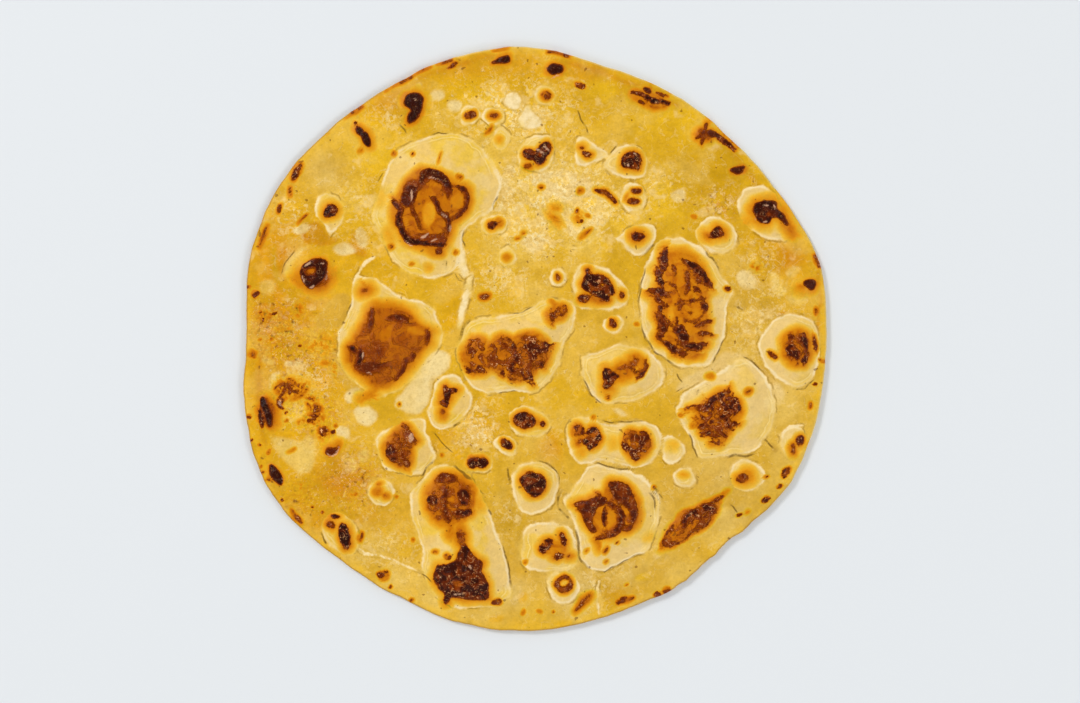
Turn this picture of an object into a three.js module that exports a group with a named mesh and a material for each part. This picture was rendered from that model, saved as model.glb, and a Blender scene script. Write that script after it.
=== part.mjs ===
// A paratha: one round flatbread from the griddle, a thin sheet of dough raised in browned blisters.
// Millimetres, +Z up. It lies on its flat underside, with the origin under the middle of its outline.
import * as THREE from "three";

// Driving dimensions
const sheetThick = 3.2; // dough between two blisters
const rimThick = 2.5; // where the sheet runs out at its edge
const rimBand = 9; // width over which the sheet thins towards the edge
const rimRound = 1.1; // how far the edge is rounded, over and under
const rimMiddle = 0.5; // share of the edge's height at which it reaches furthest out
const waveHeight = 0.3; // slow unevenness of the sheet, up and down
const waveLength = 52;
const waveTurn = 22; // how far the waves run across the X axis, in degrees
const waveStagger = 1; // phase between the two waves that cross
const riseShare = 0.3; // a blister's rise for each millimetre of its half width
const mostRise = 4.0;
const shoulderShare = 0.5; // share of the half width over which a blister's side rounds up
const mergeReach = 2.5; // how softly the lobes of one blister run into each other
const crownDent = 0.7; // how far the burnt crown of a large blister has sunk back
const dentFrom = 8; // half width from which a crown sinks
const cells = 66; // cells across the top
const snapShare = 0.42; // share of a cell that a corner may move to lie on a blister's outline
const slopeStep = 0.05; // step over which an outline's direction is read
const crustColour = 0xe2b65c;
const crustRoughness = 0.5;

// The edge as rolled by hand: distance from the middle at even bearings, from +X round through +Y.
const rimRadii = [
  105.3, 106.0, 102.1, 100.8, 101.1, 101.6, 105.3, 106.1, 105.3, 106.4, 107.5, 106.8,
  104.3, 108.4, 110.7, 107.9, 106.1, 106.8, 106.1, 103.8, 102.9, 101.7, 106.1, 105.8,
];
// The stretch of the edge that is nibbled, in degrees of bearing.
const nibbleFrom = 284;
const nibbleTo = 326;
const nibbleDeep = 0.7;
const nibbleCount = 6;

// Blisters as [x, y, half length, half width, turn in degrees]; a blister of several lobes lists them all.
const largeBlisters = [
  [[-34.5, 56, 21, 17.5, 10], [-41, 37, 16.5, 15.5, 90]],
  [[-52, -2, 19.5, 18.5, 0], [-61, 16, 7, 6, 90]],
  [[-10, -6.5, 19, 12.5, 0], [7.3, 7.5, 7.4, 7.3, 0]],
  [[53.5, 11, 23.5, 15.5, 90], [68, 18, 4, 3.8, 0]],
  [[66, -29, 15, 14.5, 0]],
  [[28, -62, 17, 16.5, 0], [22.5, -76, 9, 7, 90]],
  [[-31, -57, 12.5, 12.5, 0], [-24, -83.5, 14, 13, -45], [-27, -71, 7, 6, 90]],
  [[25.5, -14, 10, 9.5, 90], [36, -12, 10, 9.5, 0]],
  [[18, -36.5, 8.7, 8.3, 90], [37, -38.5, 8.7, 8.5, 90], [28, -37.5, 5, 5, 0]],
  [[-47.5, -40, 11, 9.5, 10], [-43, -35.5, 7.5, 6.5, 90]],
  [[57.5, -65.5, 17, 8.5, 40]],
  [[0, -53.5, 10, 9.5, 0]],
  [[5.3, -75.5, 10.3, 9.5, 0]],
  [[94.5, -2.5, 11, 8.6, 90]],
  [[84, 45.5, 10.5, 9, 20]],
  [[23, 18.5, 10.5, 7.8, -5]],
  [[-31, -22, 10.5, 8, 65]],
  [[-81, 22.5, 9.5, 8.5, 60]],
];
const smallBlisters = [
  [0.3, 66.7, 7.3, 6.8, 0], [19.5, 67, 6.2, 4.3, -10], [34, 63.7, 7, 6.8, 90],
  [62, 73, 7, 5.5, -25], [72.5, 60.5, 5, 3.8, 15], [35.2, 50.8, 4.9, 4.8, 0],
  [36.5, 36, 8, 5.8, 15], [66, 38, 7, 7, 0], [6.5, 44, 5, 4.5, 90], [28, 5.5, 4.4, 3.9, 0],
  [-14.5, 40.7, 5, 4, 20], [-10, 29.2, 4, 4, 0], [8, 21.8, 4, 3.6, 90], [96.5, 19.5, 6, 5, 70],
  [-23.5, 80.5, 4.1, 4, 0], [-15, 80.5, 4.3, 4.2, 0], [3.5, 87.7, 5, 4.6, 0], [-13, 72, 5, 3.9, 90],
  [-44.5, 84, 6.3, 4.6, 75], [-62, 73, 6, 4.6, -40], [40, 87, 8.5, 4, -15], [-74.5, 45, 7.5, 5.3, 90],
  [-2.5, -30, 7.7, 5.6, -5], [-11.5, -38, 5.6, 4, -30], [-20.3, -45.3, 5.5, 4.7, 0],
  [9.9, -90, 6.3, 6.2, 90], [77, -49.2, 7, 6.8, 0], [49.5, -40, 5, 4.6, 90], [54, -49.5, 4.2, 4, 90],
  [93.5, -38, 7, 5, 70], [-97, -26.5, 7.5, 4.2, 100], [-93.5, -49.5, 5.6, 3.7, -62],
  [-69.5, -71, 7.5, 5, -75], [-55.5, -55.5, 5, 5, 0], [-73.5, -40.5, 5, 4, 0],
  [-61.5, -28, 4.8, 4.3, 0], [-87, -42.5, 8.5, 6, -10],
];
const blisters = [...largeBlisters, ...smallBlisters.map((lobe) => [lobe])];

// Radius of the rolled edge at a bearing, as a smooth closed curve through the radii above.
function rolledRadius(bearing) {
  const count = rimRadii.length;
  const place = THREE.MathUtils.euclideanModulo(bearing / (2 * Math.PI), 1) * count;
  const start = Math.floor(place);
  const along = place - start;
  const at = (step) => rimRadii[(start + step + count) % count];
  const slopeIn = (at(1) - at(-1)) / 2;
  const slopeOut = (at(2) - at(0)) / 2;
  const bend = 2 * (at(0) - at(1)) + slopeIn + slopeOut;
  const lean = 3 * (at(1) - at(0)) - 2 * slopeIn - slopeOut;
  return at(0) + along * (slopeIn + along * (lean + along * bend));
}

// The outline: the rolled edge with its nibbled stretch.
function rimRadius(bearing) {
  const degrees = THREE.MathUtils.euclideanModulo(THREE.MathUtils.radToDeg(bearing), 360);
  const along = THREE.MathUtils.clamp((degrees - nibbleFrom) / (nibbleTo - nibbleFrom), 0, 1);
  const swell = Math.sin(Math.PI * along);
  return rolledRadius(bearing) - nibbleDeep * swell * Math.sin(2 * Math.PI * nibbleCount * along);
}

// Signed distance from a point to one elliptical lobe, negative inside.
function lobeDistance(x, y, [cx, cy, halfLength, halfWidth, turn]) {
  const angle = THREE.MathUtils.degToRad(turn);
  const along = (x - cx) * Math.cos(angle) + (y - cy) * Math.sin(angle);
  const across = (y - cy) * Math.cos(angle) - (x - cx) * Math.sin(angle);
  const reach = Math.hypot(along / halfLength, across / halfWidth);
  const slope = Math.hypot(along / halfLength ** 2, across / halfWidth ** 2);
  return slope > 0 ? (reach * (reach - 1)) / slope : -halfWidth;
}

// Signed distance to a whole blister: its lobes, run softly into each other.
function blisterDistance(x, y, lobes) {
  let nearest = lobeDistance(x, y, lobes[0]);
  for (const lobe of lobes.slice(1)) {
    const next = lobeDistance(x, y, lobe);
    const overlap = Math.max(mergeReach - Math.abs(nearest - next), 0);
    nearest = Math.min(nearest, next) - overlap ** 2 / (4 * mergeReach);
  }
  return nearest;
}

const blisterHalfWidth = (lobes) => Math.max(...lobes.map((lobe) => lobe[3]));

// Height of one blister over the sheet: a rounded shoulder, then a crown that sinks on the large ones.
function blisterRise(x, y, lobes) {
  const inside = -blisterDistance(x, y, lobes);
  if (inside <= 0) return 0;
  const halfWidth = blisterHalfWidth(lobes);
  const shoulder = shoulderShare * halfWidth;
  const climb = Math.min(inside / shoulder, 1);
  const rise = Math.min(riseShare * halfWidth, mostRise) * Math.sqrt(1 - (1 - climb) ** 2);
  const crown = THREE.MathUtils.smoothstep(inside, shoulder, halfWidth);
  return rise - (halfWidth >= dentFrom ? crownDent * crown : 0);
}

// Height of the bare sheet: slow waves, thinning towards the edge.
function sheetHeight(x, y) {
  const wave = (2 * Math.PI) / waveLength;
  const turn = THREE.MathUtils.degToRad(waveTurn);
  const along = x * Math.cos(turn) + y * Math.sin(turn);
  const across = y * Math.cos(turn) - x * Math.sin(turn);
  const swell = Math.sin(wave * along) * Math.sin(wave * across + waveStagger);
  const toEdge = rimRadius(Math.atan2(y, x)) - Math.hypot(x, y);
  const body = THREE.MathUtils.smoothstep(toEdge, 0, rimBand);
  return THREE.MathUtils.lerp(rimThick, sheetThick + waveHeight * swell, body);
}

const topHeight = (x, y) =>
  sheetHeight(x, y) + Math.max(...blisters.map((lobes) => blisterRise(x, y, lobes)));

// A corner of the square grid laid on the unit disc, square rings becoming circles.
function discPoint(u, v) {
  if (u === 0 && v === 0) return [0, 0];
  const wide = Math.abs(u) >= Math.abs(v);
  const radius = wide ? u : v;
  const angle = wide ? (Math.PI / 4) * (v / u) : Math.PI / 2 - (Math.PI / 4) * (u / v);
  return [radius * Math.cos(angle), radius * Math.sin(angle)];
}

// Moves a corner that lies close to a blister's outline onto it, so that the outline stays crisp.
function snapToOutline(x, y, reach) {
  let best = reach;
  let moved = [x, y];
  for (const lobes of blisters) {
    const away = blisterDistance(x, y, lobes);
    if (Math.abs(away) >= Math.abs(best)) continue;
    const slopeX = (blisterDistance(x + slopeStep, y, lobes) - away) / slopeStep;
    const slopeY = (blisterDistance(x, y + slopeStep, lobes) - away) / slopeStep;
    const steepness = Math.hypot(slopeX, slopeY) || 1;
    best = away;
    moved = [x - (away * slopeX) / steepness, y - (away * slopeY) / steepness];
  }
  return moved;
}

// The top: a grid of corners over the disc, stretched to the outline and lifted to its height.
function topCorners() {
  const corners = [];
  for (let row = 0; row <= cells; row += 1) {
    for (let column = 0; column <= cells; column += 1) {
      const [u, v] = discPoint((2 * column) / cells - 1, (2 * row) / cells - 1);
      const bearing = Math.atan2(v, u);
      const radius = rimRadius(bearing) - rimRound;
      let x = u * radius;
      let y = v * radius;
      const inner = row > 0 && row < cells && column > 0 && column < cells;
      if (inner) [x, y] = snapToOutline(x, y, (snapShare * 2 * radius) / cells);
      corners.push(new THREE.Vector3(x, y, topHeight(x, y)));
    }
  }
  return corners;
}

// Indices of the grid's outermost corners, in order round the edge.
function edgeLoop() {
  const at = (row, column) => row * (cells + 1) + column;
  const loop = [];
  for (let i = 0; i < cells; i += 1) loop.push(at(0, i));
  for (let i = 0; i < cells; i += 1) loop.push(at(i, cells));
  for (let i = 0; i < cells; i += 1) loop.push(at(cells, cells - i));
  for (let i = 0; i < cells; i += 1) loop.push(at(cells - i, 0));
  return loop;
}

// Two triangles of one grid cell, split along its shorter diagonal.
function splitCell(corners, a, b, c, d) {
  const straight = corners[a].distanceTo(corners[c]) <= corners[b].distanceTo(corners[d]);
  return straight ? [a, b, c, a, c, d] : [a, b, d, b, c, d];
}

// The strip of triangles between two rings of equal count, the first above the second.
function strip(upper, lower) {
  return upper.flatMap((corner, i) => {
    const next = (i + 1) % upper.length;
    return [corner, lower[i], upper[next], upper[next], lower[i], lower[next]];
  });
}

// The whole bread as one closed surface: top, rounded edge and flat underside.
function breadGeometry() {
  const corners = topCorners();
  const triangles = [];
  for (let row = 0; row < cells; row += 1) {
    for (let column = 0; column < cells; column += 1) {
      const a = row * (cells + 1) + column;
      triangles.push(...splitCell(corners, a, a + 1, a + cells + 2, a + cells + 1));
    }
  }
  const rimTop = edgeLoop();
  const addRing = (inset, heightShare) =>
    rimTop.map((index) => {
      const { x, y, z } = corners[index];
      const bearing = Math.atan2(y, x);
      const radius = rimRadius(bearing) - inset;
      const out = [radius * Math.cos(bearing), radius * Math.sin(bearing)];
      return corners.push(new THREE.Vector3(...out, z * heightShare)) - 1;
    });
  const rimWidest = addRing(0, rimMiddle);
  const rimFoot = addRing(rimRound, 0);
  const footMiddle = corners.push(new THREE.Vector3(0, 0, 0)) - 1;
  triangles.push(...strip(rimTop, rimWidest), ...strip(rimWidest, rimFoot));
  rimFoot.forEach((index, i) => triangles.push(index, footMiddle, rimFoot[(i + 1) % rimFoot.length]));

  const geometry = new THREE.BufferGeometry().setFromPoints(corners);
  geometry.setIndex(triangles);
  geometry.computeBoundingBox();
  const middle = geometry.boundingBox.getCenter(new THREE.Vector3());
  geometry.translate(-middle.x, -middle.y, 0);
  geometry.computeVertexNormals();
  return geometry;
}

const crust = new THREE.MeshStandardMaterial({ color: crustColour, roughness: crustRoughness, metalness: 0 });
const bread = new THREE.Mesh(breadGeometry(), crust);
bread.name = "paratha";

const part = new THREE.Group();
part.add(bread);

export default part;
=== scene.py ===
import math

import bpy
import numpy as np
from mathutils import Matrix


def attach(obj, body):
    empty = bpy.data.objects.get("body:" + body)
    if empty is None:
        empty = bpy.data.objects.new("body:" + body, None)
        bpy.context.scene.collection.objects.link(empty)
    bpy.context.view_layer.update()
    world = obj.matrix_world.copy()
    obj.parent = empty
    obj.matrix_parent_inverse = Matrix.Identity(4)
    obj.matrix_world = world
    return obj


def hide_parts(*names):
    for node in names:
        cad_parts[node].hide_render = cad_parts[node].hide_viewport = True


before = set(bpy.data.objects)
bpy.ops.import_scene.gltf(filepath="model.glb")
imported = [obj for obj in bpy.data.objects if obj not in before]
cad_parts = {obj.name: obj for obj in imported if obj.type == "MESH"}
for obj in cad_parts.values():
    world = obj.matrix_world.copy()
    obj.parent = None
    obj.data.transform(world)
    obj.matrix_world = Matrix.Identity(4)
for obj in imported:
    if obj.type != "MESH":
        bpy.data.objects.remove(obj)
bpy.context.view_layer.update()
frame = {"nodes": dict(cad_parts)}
mm = 0.001
print("frame loaded:", ", ".join(frame["nodes"]))


# Rolled sheet: sizes in millimetres, bearings in degrees from +X towards +Y
sheet = {
    "thick": 3.2,
    "rimThick": 2.5,
    "rimBand": 9.0,          # over this width the sheet thins towards the rim
    "rimRound": 1.1,
    "waveHeight": 0.3,
    "waveLength": 52.0,
    "waveTurn": 22.0,
    "waveShift": 1.0,        # radians between the waves along and across
    "rimRadii": [105.3, 106.4, 102.8, 101.1, 101.4, 101.6, 105.3, 106.1, 105.3, 106.4, 108.0, 107.3,
                 104.6, 108.9, 111.1, 107.9, 106.1, 106.8, 106.1, 103.8, 103.3, 101.8, 106.1, 105.8],
    "rimWander": 0.45,       # fine unevenness of the rim
    "scallop": 0.9,          # tighter waves of the rim about one bearing
    "scallopAt": 311.0,
    "scallopSpan": 15.0,
    "domeFade": 3.0,         # over this width domes sink away towards the rim
    "reliefFade": 2.5,       # and over this one all other relief
    "pimple": 0.06,          # height of the dough's fine unevenness
    "looseRise": 0.15,       # and of its roughness where it is flaky or crumbly
    "toneSway": 0.35,        # how unevenly tones are brushed on
    "flakeTone": 0.9,
    "topCells": 282,         # squares along one side of the top's grid
    "underCells": 94,        # a third of the top's, so the two rims stitch three to one
    "rimRings": 5,
    "tatterFrom": 1.15,      # char runs this far down the rim, give or take half its tatter
    "tatter": 0.5,
    "rimClear": 3.0,
    "underInset": 0.012,     # the underside's border lies this share inside the rim
}

# Seeded unevenness: how far apart its bumps lie in millimetres, then its seed
strays = {
    "rim": (8.0, 5),
    "scallop": (3.4, 7),
    "outlineX": (7.0, 11),
    "outlineY": (7.0, 21),
    "charX": (4.2, 31),
    "charY": (4.2, 41),
    "halo": (7.0, 51),
    "pucker": (2.9, 61),
    "pimple": (2.2, 71),
    "loose": (1.8, 81),
    "underPatch": (26.0, 91),
    "underBlot": (7.0, 95),
    "tone": (9.0, 101),
    "tatter": (2.4, 101),
}

# How blisters, flakes and seams stand up from the sheet, in millimetres
swelling = {
    "riseShare": 0.3,        # share of a blister's half width
    "mostRise": 4.0,
    "shoulderShare": 0.75,
    "dent": 0.7,             # dip in the middle of blisters wider than dentFrom
    "dentFrom": 8.0,
    "evenings": 20,          # how often the domes are evened out
    "outlineWander": 1.2,    # how far outlines stray from the corners given
    "cornerCuts": 2,         # how often corners are cut, so straight runs meet in curves
    "reach": 9.0,            # beyond this an outline has no effect
    "lip": 0.1,
    "lipAt": 0.9,            # how far inside the outline
    "lipWidth": 0.7,
    "groove": 0.12,
    "grooveAt": -0.4,
    "grooveWidth": 0.5,
    "flakeRise": 0.3,
    "flakeSlope": 1.4,
    "flakeSkin": 0.4,        # clear flakes are thin skins with no painted highlight lip inside
    "ridgeSlope": 1.2,
    "strokeTip": 0.55,       # how wide a line is at its two ends, as a share
    "seamSink": 0.4,
    "seamWidth": 0.6,
    "seamTaper": 6.0,        # a seam fades in and out over one part in this many
    "seamReach": 3.0,        # and is gone this far off its line
    "seamBlur": 1.5,
    "bareFrom": 0.5,         # the sheet's own texture stops this far inside a skin
    "bareFade": 1.5,
}

# How places brown, from 0 for raw to 1 for black; lengths are in millimetres
charring = {
    "wander": 0.8,           # how far char strays from the corners given
    "darkFrom": 0.7,         # places burnt at least this much have a crisp edge
    "amberMost": 0.6,
    "amberDepth": 1.6,
    "shallow": 0.6,          # share of that depth on small blisters
    "edgeShare": 0.7,        # burn at a place's edge, as a share of its amber
    "edgeMost": 0.5,
    "glowFall": 1.3,
    "haloWander": 0.5,
    "haloBlend": 0.12,
    "buttonGrit": 0.5,
    "swellGrit": 0.1,
    "foldHalo": 1.3,
    "foldCore": 0.32,        # dark part of a fold, as a share of its width
    "foldSoft": 0.45,
    "foldFade": 1.1,
    "holeInset": 1.8,
    "holeFade": 4.2,
    "holeEdge": 0.3,
    "holeClear": 0.7,
    "holeSlope": 1.2,
    "holeSink": 0.25,
    "markHalo": 0.5,         # spots and dashes glow this far, and further the wider they are
    "spotHalo": 0.9,
    "spotDepth": 0.8,
    "spotGrit": 0.9,
    "dashHalo": 0.8,
    "dashDepth": 0.4,
    "dashGrit": 0.6,
    "crustRise": 0.3,
    "crustSlope": 1.2,
    "wrinkle": 0.35,         # puckers of the burnt crust
    "wrinkleLevel": 0.4,
    "amberFrom": 0.4,
    "amberSpan": 0.15,
}

# Large blisters. skin: the outline's corners. halo: how far the gold glows out.
# grit: how grainy the char is. ringed: False where the brown glows straight out into the sheet.
# char: a burn from 0 to 1, then an oval (x, y, half length, half width, turn) or a list of corners.
# holes: paler places in the char, in the same form. folds: width, burn, then the points along the fold.
blisters = {
    "greatSwirl": {
        "skin": [(-57.5, 50), (-54, 62), (-50, 67.5), (-45, 70.5), (-37, 74), (-27, 74.5), (-18.5, 68),
            (-14.5, 60), (-12, 55), (-13.5, 50.5), (-15, 46), (-20, 42.5), (-25.3, 39), (-26.5, 35),
            (-26, 30), (-29, 23.5), (-36, 20.5), (-42, 21.5), (-47, 24), (-51, 27.5), (-54, 32), (-56, 37),
            (-59, 44)],
        "halo": 3.2,
        "grit": 0.2,
        "char": [
            (0.43, [(-41, 61), (-36, 60.8), (-31.4, 58.2), (-28.5, 55.8), (-24.4, 55.4), (-23.1, 52),
                (-23.3, 47.4), (-26, 43.8), (-29, 41.4), (-29.8, 38), (-32, 33), (-34.6, 29.6), (-38, 31),
                (-44, 32.6), (-49, 35.6), (-51.4, 40.5), (-51.8, 46), (-49.8, 50), (-48.4, 53),
                (-46, 57.4)]), (0.7, (-36.8, 35.5, 5.2, 1.7, -4)), (0.6, (-44.6, 53, 4.6, 3.6, 55)),
            (0.84, [(-48.6, 50), (-47, 53.4), (-44.6, 54.8), (-42.2, 53.6), (-42.6, 50), (-44.2, 47.4),
                (-46.8, 47.4)]), (0.86, [(-28.2, 54.6), (-25, 54.4), (-25.2, 51.8), (-26.6, 52.6)]),
            (0.8, (-34.7, 31.2, 1.3, 1.2, 0)), (0.22, (-52.6, 36.4, 3.4, 1.6, 110)),
            (0.1, (-55.6, 51, 4, 2, 80))],
        "holes": [(0.29, (-38.3, 44.6, 5.8, 3.4, 80)), (0.29, (-28.2, 48.8, 3.8, 2.8, 75)),
            (0.34, (-46.8, 42, 4.2, 1.5, 108)), (0.36, (-37, 55, 3, 1.4, 0))],
        "folds": [
            (3.4, 0.9, (-41.8, 56.6), (-40.6, 59.2), (-38.2, 60), (-35.1, 59), (-32, 56.9), (-30.4, 54)),
            (1.5, 0.76, (-31.2, 54.8), (-30.8, 52.8), (-30.8, 50.6)),
            (1.5, 0.78, (-41.6, 39.2), (-43.8, 44.6), (-44.8, 48.6)),
            (2.2, 0.96, (-33, 33), (-38.2, 33.6), (-42.6, 34), (-46, 35.3), (-48.4, 37.6), (-49.6, 41),
                (-49.6, 44), (-49, 46.4), (-51.2, 48.8)),
            (1.7, 0.9, (-36.9, 51), (-35.1, 48.7), (-33.8, 46), (-31.4, 43.8), (-30.8, 41.6),
                (-31.4, 38.6)),
            (1.6, 0.82, (-27.6, 54.6), (-25.2, 53.2), (-24.4, 50.4), (-25.2, 46.9), (-27.1, 44.2),
                (-30, 42.6)), (1.4, 0.74, (-42.4, 37.4), (-38.4, 37), (-34.4, 37.2), (-31.4, 37.8))],
    },
    "toffee": {
        "skin": [(-66, 24), (-63, 22.5), (-58, 21.8), (-55, 20), (-51, 16.5), (-44, 14), (-40, 13.5),
            (-36, 10), (-33.6, 4.5), (-33, 0), (-36, -5), (-40, -9), (-43, -13), (-47, -17), (-51, -20),
            (-56, -21.5), (-60, -20), (-66, -14.5), (-69, -11), (-71, -6), (-71.7, 0), (-71, 3.5),
            (-68.5, 8.5), (-66.5, 13), (-66.8, 18)],
        "halo": 4.2,
        "grit": 0.15,
        "char": [
            (0.5, [(-56, 12.6), (-50, 11.4), (-44, 8.8), (-42, 5), (-38.4, 3.6), (-36.6, 2), (-37.4, -2),
                (-40.6, -4.5), (-43, -8), (-46, -12), (-50, -15.5), (-55, -17.5), (-58, -19), (-61, -15),
                (-65, -12), (-68, -8), (-68, -3), (-65, 0), (-62.5, 5), (-61, 10)]),
            (0.66, (-58.6, -5.6, 5, 5.4, 0)), (0.6, (-61.3, 17.3, 1.8, 1.4, 20))],
        "holes": [(0.44, (-53.5, 2, 5, 3.4, 70)), (0.37, (-42.6, 2.6, 4, 2.8, 0)),
            (0.48, (-50, -8, 4, 2.4, 40))],
        "folds": [(2.2, 0.84, (-52, 7.6), (-49.2, 7.3), (-46.2, 6.3)),
            (1.9, 0.8, (-58, 9.4), (-58.6, 6.6), (-59.2, 3)), (2.2, 0.98, (-66.2, -3.2), (-64.8, -4.3)),
            (2.3, 0.95, (-62, -4.6), (-62.8, -7.5), (-63.6, -9.4)),
            (3.8, 0.78, (-63, -9.8), (-59.6, -10.2), (-56, -9.4)), (2.2, 0.7, (-58, -5.6), (-55.8, -3.8)),
            (1.7, 0.82, (-46, -8.4), (-47.4, -12), (-49.8, -14.8)),
            (1.6, 0.76, (-43.9, -5.8), (-43.7, -7.7)), (1.9, 0.82, (-38.4, 2.6), (-38.2, 0.3), (-38.7, -2)),
            (2.4, 0.45, (-56.5, -18), (-59, -20.2), (-62.5, -22.4)),
            (1.2, 0.5, (-62.4, 20.4), (-61.4, 18.4))],
    },
    "middleBar": {
        "skin": [(-28, 0), (-24, 7), (-15, 8.5), (-8, 9.2), (-3, 10.5), (0, 13), (4, 14.6), (8, 15),
            (12, 14), (14.4, 12), (15, 8), (14, 3.6), (10, -1.5), (9.4, -8), (7, -13), (3, -17),
            (-1, -20.2), (-7, -19.4), (-14, -19.6), (-20, -20), (-24, -17), (-27, -12), (-28.8, -6)],
        "halo": 2.8,
        "grit": 0.8,
        "char": [(0.48, (-20.5, -6.6, 6.4, 6.9, 0)), (0.5, (-12, -5.8, 6.4, 6.6, 0)),
            (0.54, (-2, -5.2, 7.2, 6.8, 0)), (0.52, (-5, -11, 5.6, 4.7, 0)), (0.5, (7.7, 9, 3.8, 2.6, 28)),
            (0.84, (9.2, 9.8, 2.6, 1.7, 30))],
        "holes": [(0.34, (-17.8, -2.6, 3, 1.2, 85)), (0.45, (-8.6, -5.6, 2.8, 1.2, 75)),
            (0.5, (-1.6, -9.4, 2.6, 1.1, 0)), (0.4, (-4.6, -14.6, 1.6, 0.8, 10))],
        "folds": [(4.0, 0.86, (-2.6, -2.6), (0.4, -2), (3, -1.8)), (3.2, 0.86, (0.6, -6.6), (2.2, -8.4)),
            (1.8, 0.86, (-3, -3.6), (-5, -5), (-7, -8.4), (-8, -11)),
            (2.3, 0.88, (-9.2, -1.4), (-7.6, -2.4)), (1.7, 0.74, (-13.7, -2), (-12, -5)),
            (2.4, 0.88, (-8.8, -11.3), (-6.4, -11.7), (-4.2, -12)),
            (1.6, 0.84, (-8, -12), (-8.5, -14.4), (-6.6, -14.7)),
            (2.2, 0.86, (-4.2, -12), (-2.6, -14), (-1, -15.6)), (2.0, 0.8, (-12.5, -11), (-11.6, -12.4)),
            (1.8, 0.82, (-21.2, -10.3), (-18.4, -11.5)), (1.3, 0.84, (-24.8, -10.2), (-23.3, -12)),
            (2.4, 0.74, (-22.4, -1.4), (-22, -4.4), (-20.6, -6)), (1.4, 0.72, (-16.6, -7.2), (-14, -7.8)),
            (1.2, 0.82, (-11.6, 0.4), (-9.8, -1.2)), (1.6, 0.8, (4.8, 8.8), (6, 8), (6.8, 5.9)),
            (1.3, 0.6, (6, 13.4), (7.4, 12.3), (8.6, 11.4))],
    },
    "rightOval": {
        "skin": [(43.8, 34.4), (48, 36.4), (54, 36.6), (60, 32.4), (65, 29), (67.6, 22.8), (71, 19),
            (72, 16), (69.6, 13), (69.3, 5), (68.3, 0), (64.2, -9), (57, -11), (50.5, -10.5), (47, -8.5),
            (43, -5), (40, -1), (38, 8), (37.7, 16), (38.3, 22), (40, 27)],
        "halo": 2.6,
        "grit": 0.45,
        "char": [
            (0.37, [(46, 31), (51, 32.4), (57, 31), (61, 26), (64, 21), (63, 16), (61.6, 14), (63, 9),
                (63, 3), (60, -4), (58, -7), (52, -7), (45, -1), (44, 6), (42, 12), (42, 17), (43.5, 23)])],
        "holes": [(0.32, (58.2, 8.8, 3.6, 3, 90)), (0.3, (48.4, 9, 4, 2.4, 90)),
            (0.32, (51.2, 19.4, 3.6, 3, 60)), (0.34, (59, 18.4, 2.2, 1.8, 0)),
            (0.34, (57.5, 0.6, 2.4, 1.2, 10)), (0.36, (50, -2, 2.6, 1, 110)),
            (0.32, (51, 27.4, 2.6, 1.4, 10))],
        "folds": [(3.1, 0.86, (47.6, 30.4), (46.8, 28), (46.4, 25.2)),
            (2.5, 0.97, (44.2, 24.4), (44.8, 22), (45.6, 19.8)), (3.4, 0.86, (42.8, 17.2), (46, 16.8)),
            (1.7, 0.86, (43, 15.2), (45, 13.4), (47, 12.5)), (1.6, 0.95, (45.2, 11.3), (45.5, 10)),
            (3.2, 0.84, (45.4, 8.4), (46.4, 4.6), (46.2, 1)),
            (2.2, 0.88, (47, -0.6), (49.4, -2.8), (51.8, -5.4)),
            (3.0, 0.92, (54.8, 27.8), (58.2, 25.2), (61.4, 21.8), (63.4, 19.6)),
            (1.7, 0.86, (58, 22.2), (59.2, 20)), (1.3, 0.84, (57.2, 18), (59.8, 16)),
            (1.8, 0.76, (54.3, 24.4), (55, 20.5), (55, 17)),
            (1.1, 0.84, (50, 12.4), (52, 13.7), (57.6, 13.7), (61, 14.4)),
            (2.8, 0.86, (61.2, 12.4), (61.7, 10.4)),
            (1.3, 0.7, (56.4, 11), (54.6, 13), (52.2, 12.4), (51.6, 10.2), (53.4, 8.6), (56, 9.2)),
            (1.4, 0.82, (57.6, 4.6), (60.4, 5.6), (63, 6.8)), (1.6, 0.84, (59, 2.2), (63, 2)),
            (3.4, 0.9, (52.4, 4.4), (53.6, 1), (54, -2.4)), (2.6, 0.93, (54.8, -2), (57.4, -3), (60, -1.8)),
            (2.0, 0.86, (50.8, -5.2), (53.6, -5.4)), (1.8, 0.62, (55.2, -6.4), (59, -5.8)),
            (1.3, 0.84, (49.6, 26), (50, 23.2)),
            (1.3, 0.74, (46.2, 7.4), (48.8, 5.2), (51.6, 2.4), (52, -2)),
            (1.3, 0.72, (47.6, 20.4), (50, 18.6), (51.6, 15.4)),
            (1.3, 0.74, (60.4, 7.8), (57.2, 5.6), (53.6, 6))],
    },
    "lowerRight": {
        "skin": [(52, -22), (56, -18), (61, -15.5), (66, -12.5), (71, -9), (76, -7.5), (80, -9.5),
            (83, -13), (85.6, -17), (86.6, -22), (87, -28), (85, -34), (81, -39.5), (76, -42), (70, -42.8),
            (65, -44), (60.5, -45), (57.5, -41), (55.5, -35.5), (52, -30), (50.5, -26)],
        "halo": 2.8,
        "grit": 0.7,
        "char": [
            (0.5, [(55, -24.5), (58, -24.3), (61, -22.5), (64, -20.5), (67, -18), (69.5, -18.8),
                (71.5, -21), (74, -23.5), (74.5, -26), (73, -29), (72, -31), (70.5, -33), (69, -36),
                (67, -38.5), (64.5, -37.5), (62, -35), (60, -32.5), (57.5, -31.5), (58.5, -28)])],
        "holes": [(0.36, (61.4, -27.6, 1.8, 1.4, 0)), (0.42, (64.5, -31.6, 2.2, 1, 0)),
            (0.44, (71.6, -28.9, 2.2, 0.8, 0)), (0.34, (66, -36.2, 2.4, 1, -10)),
            (0.5, (65.6, -24.2, 3, 0.8, 95))],
        "folds": [(3.8, 0.95, (71.8, -22.4), (72.4, -24.6), (71.2, -26.6)),
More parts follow.
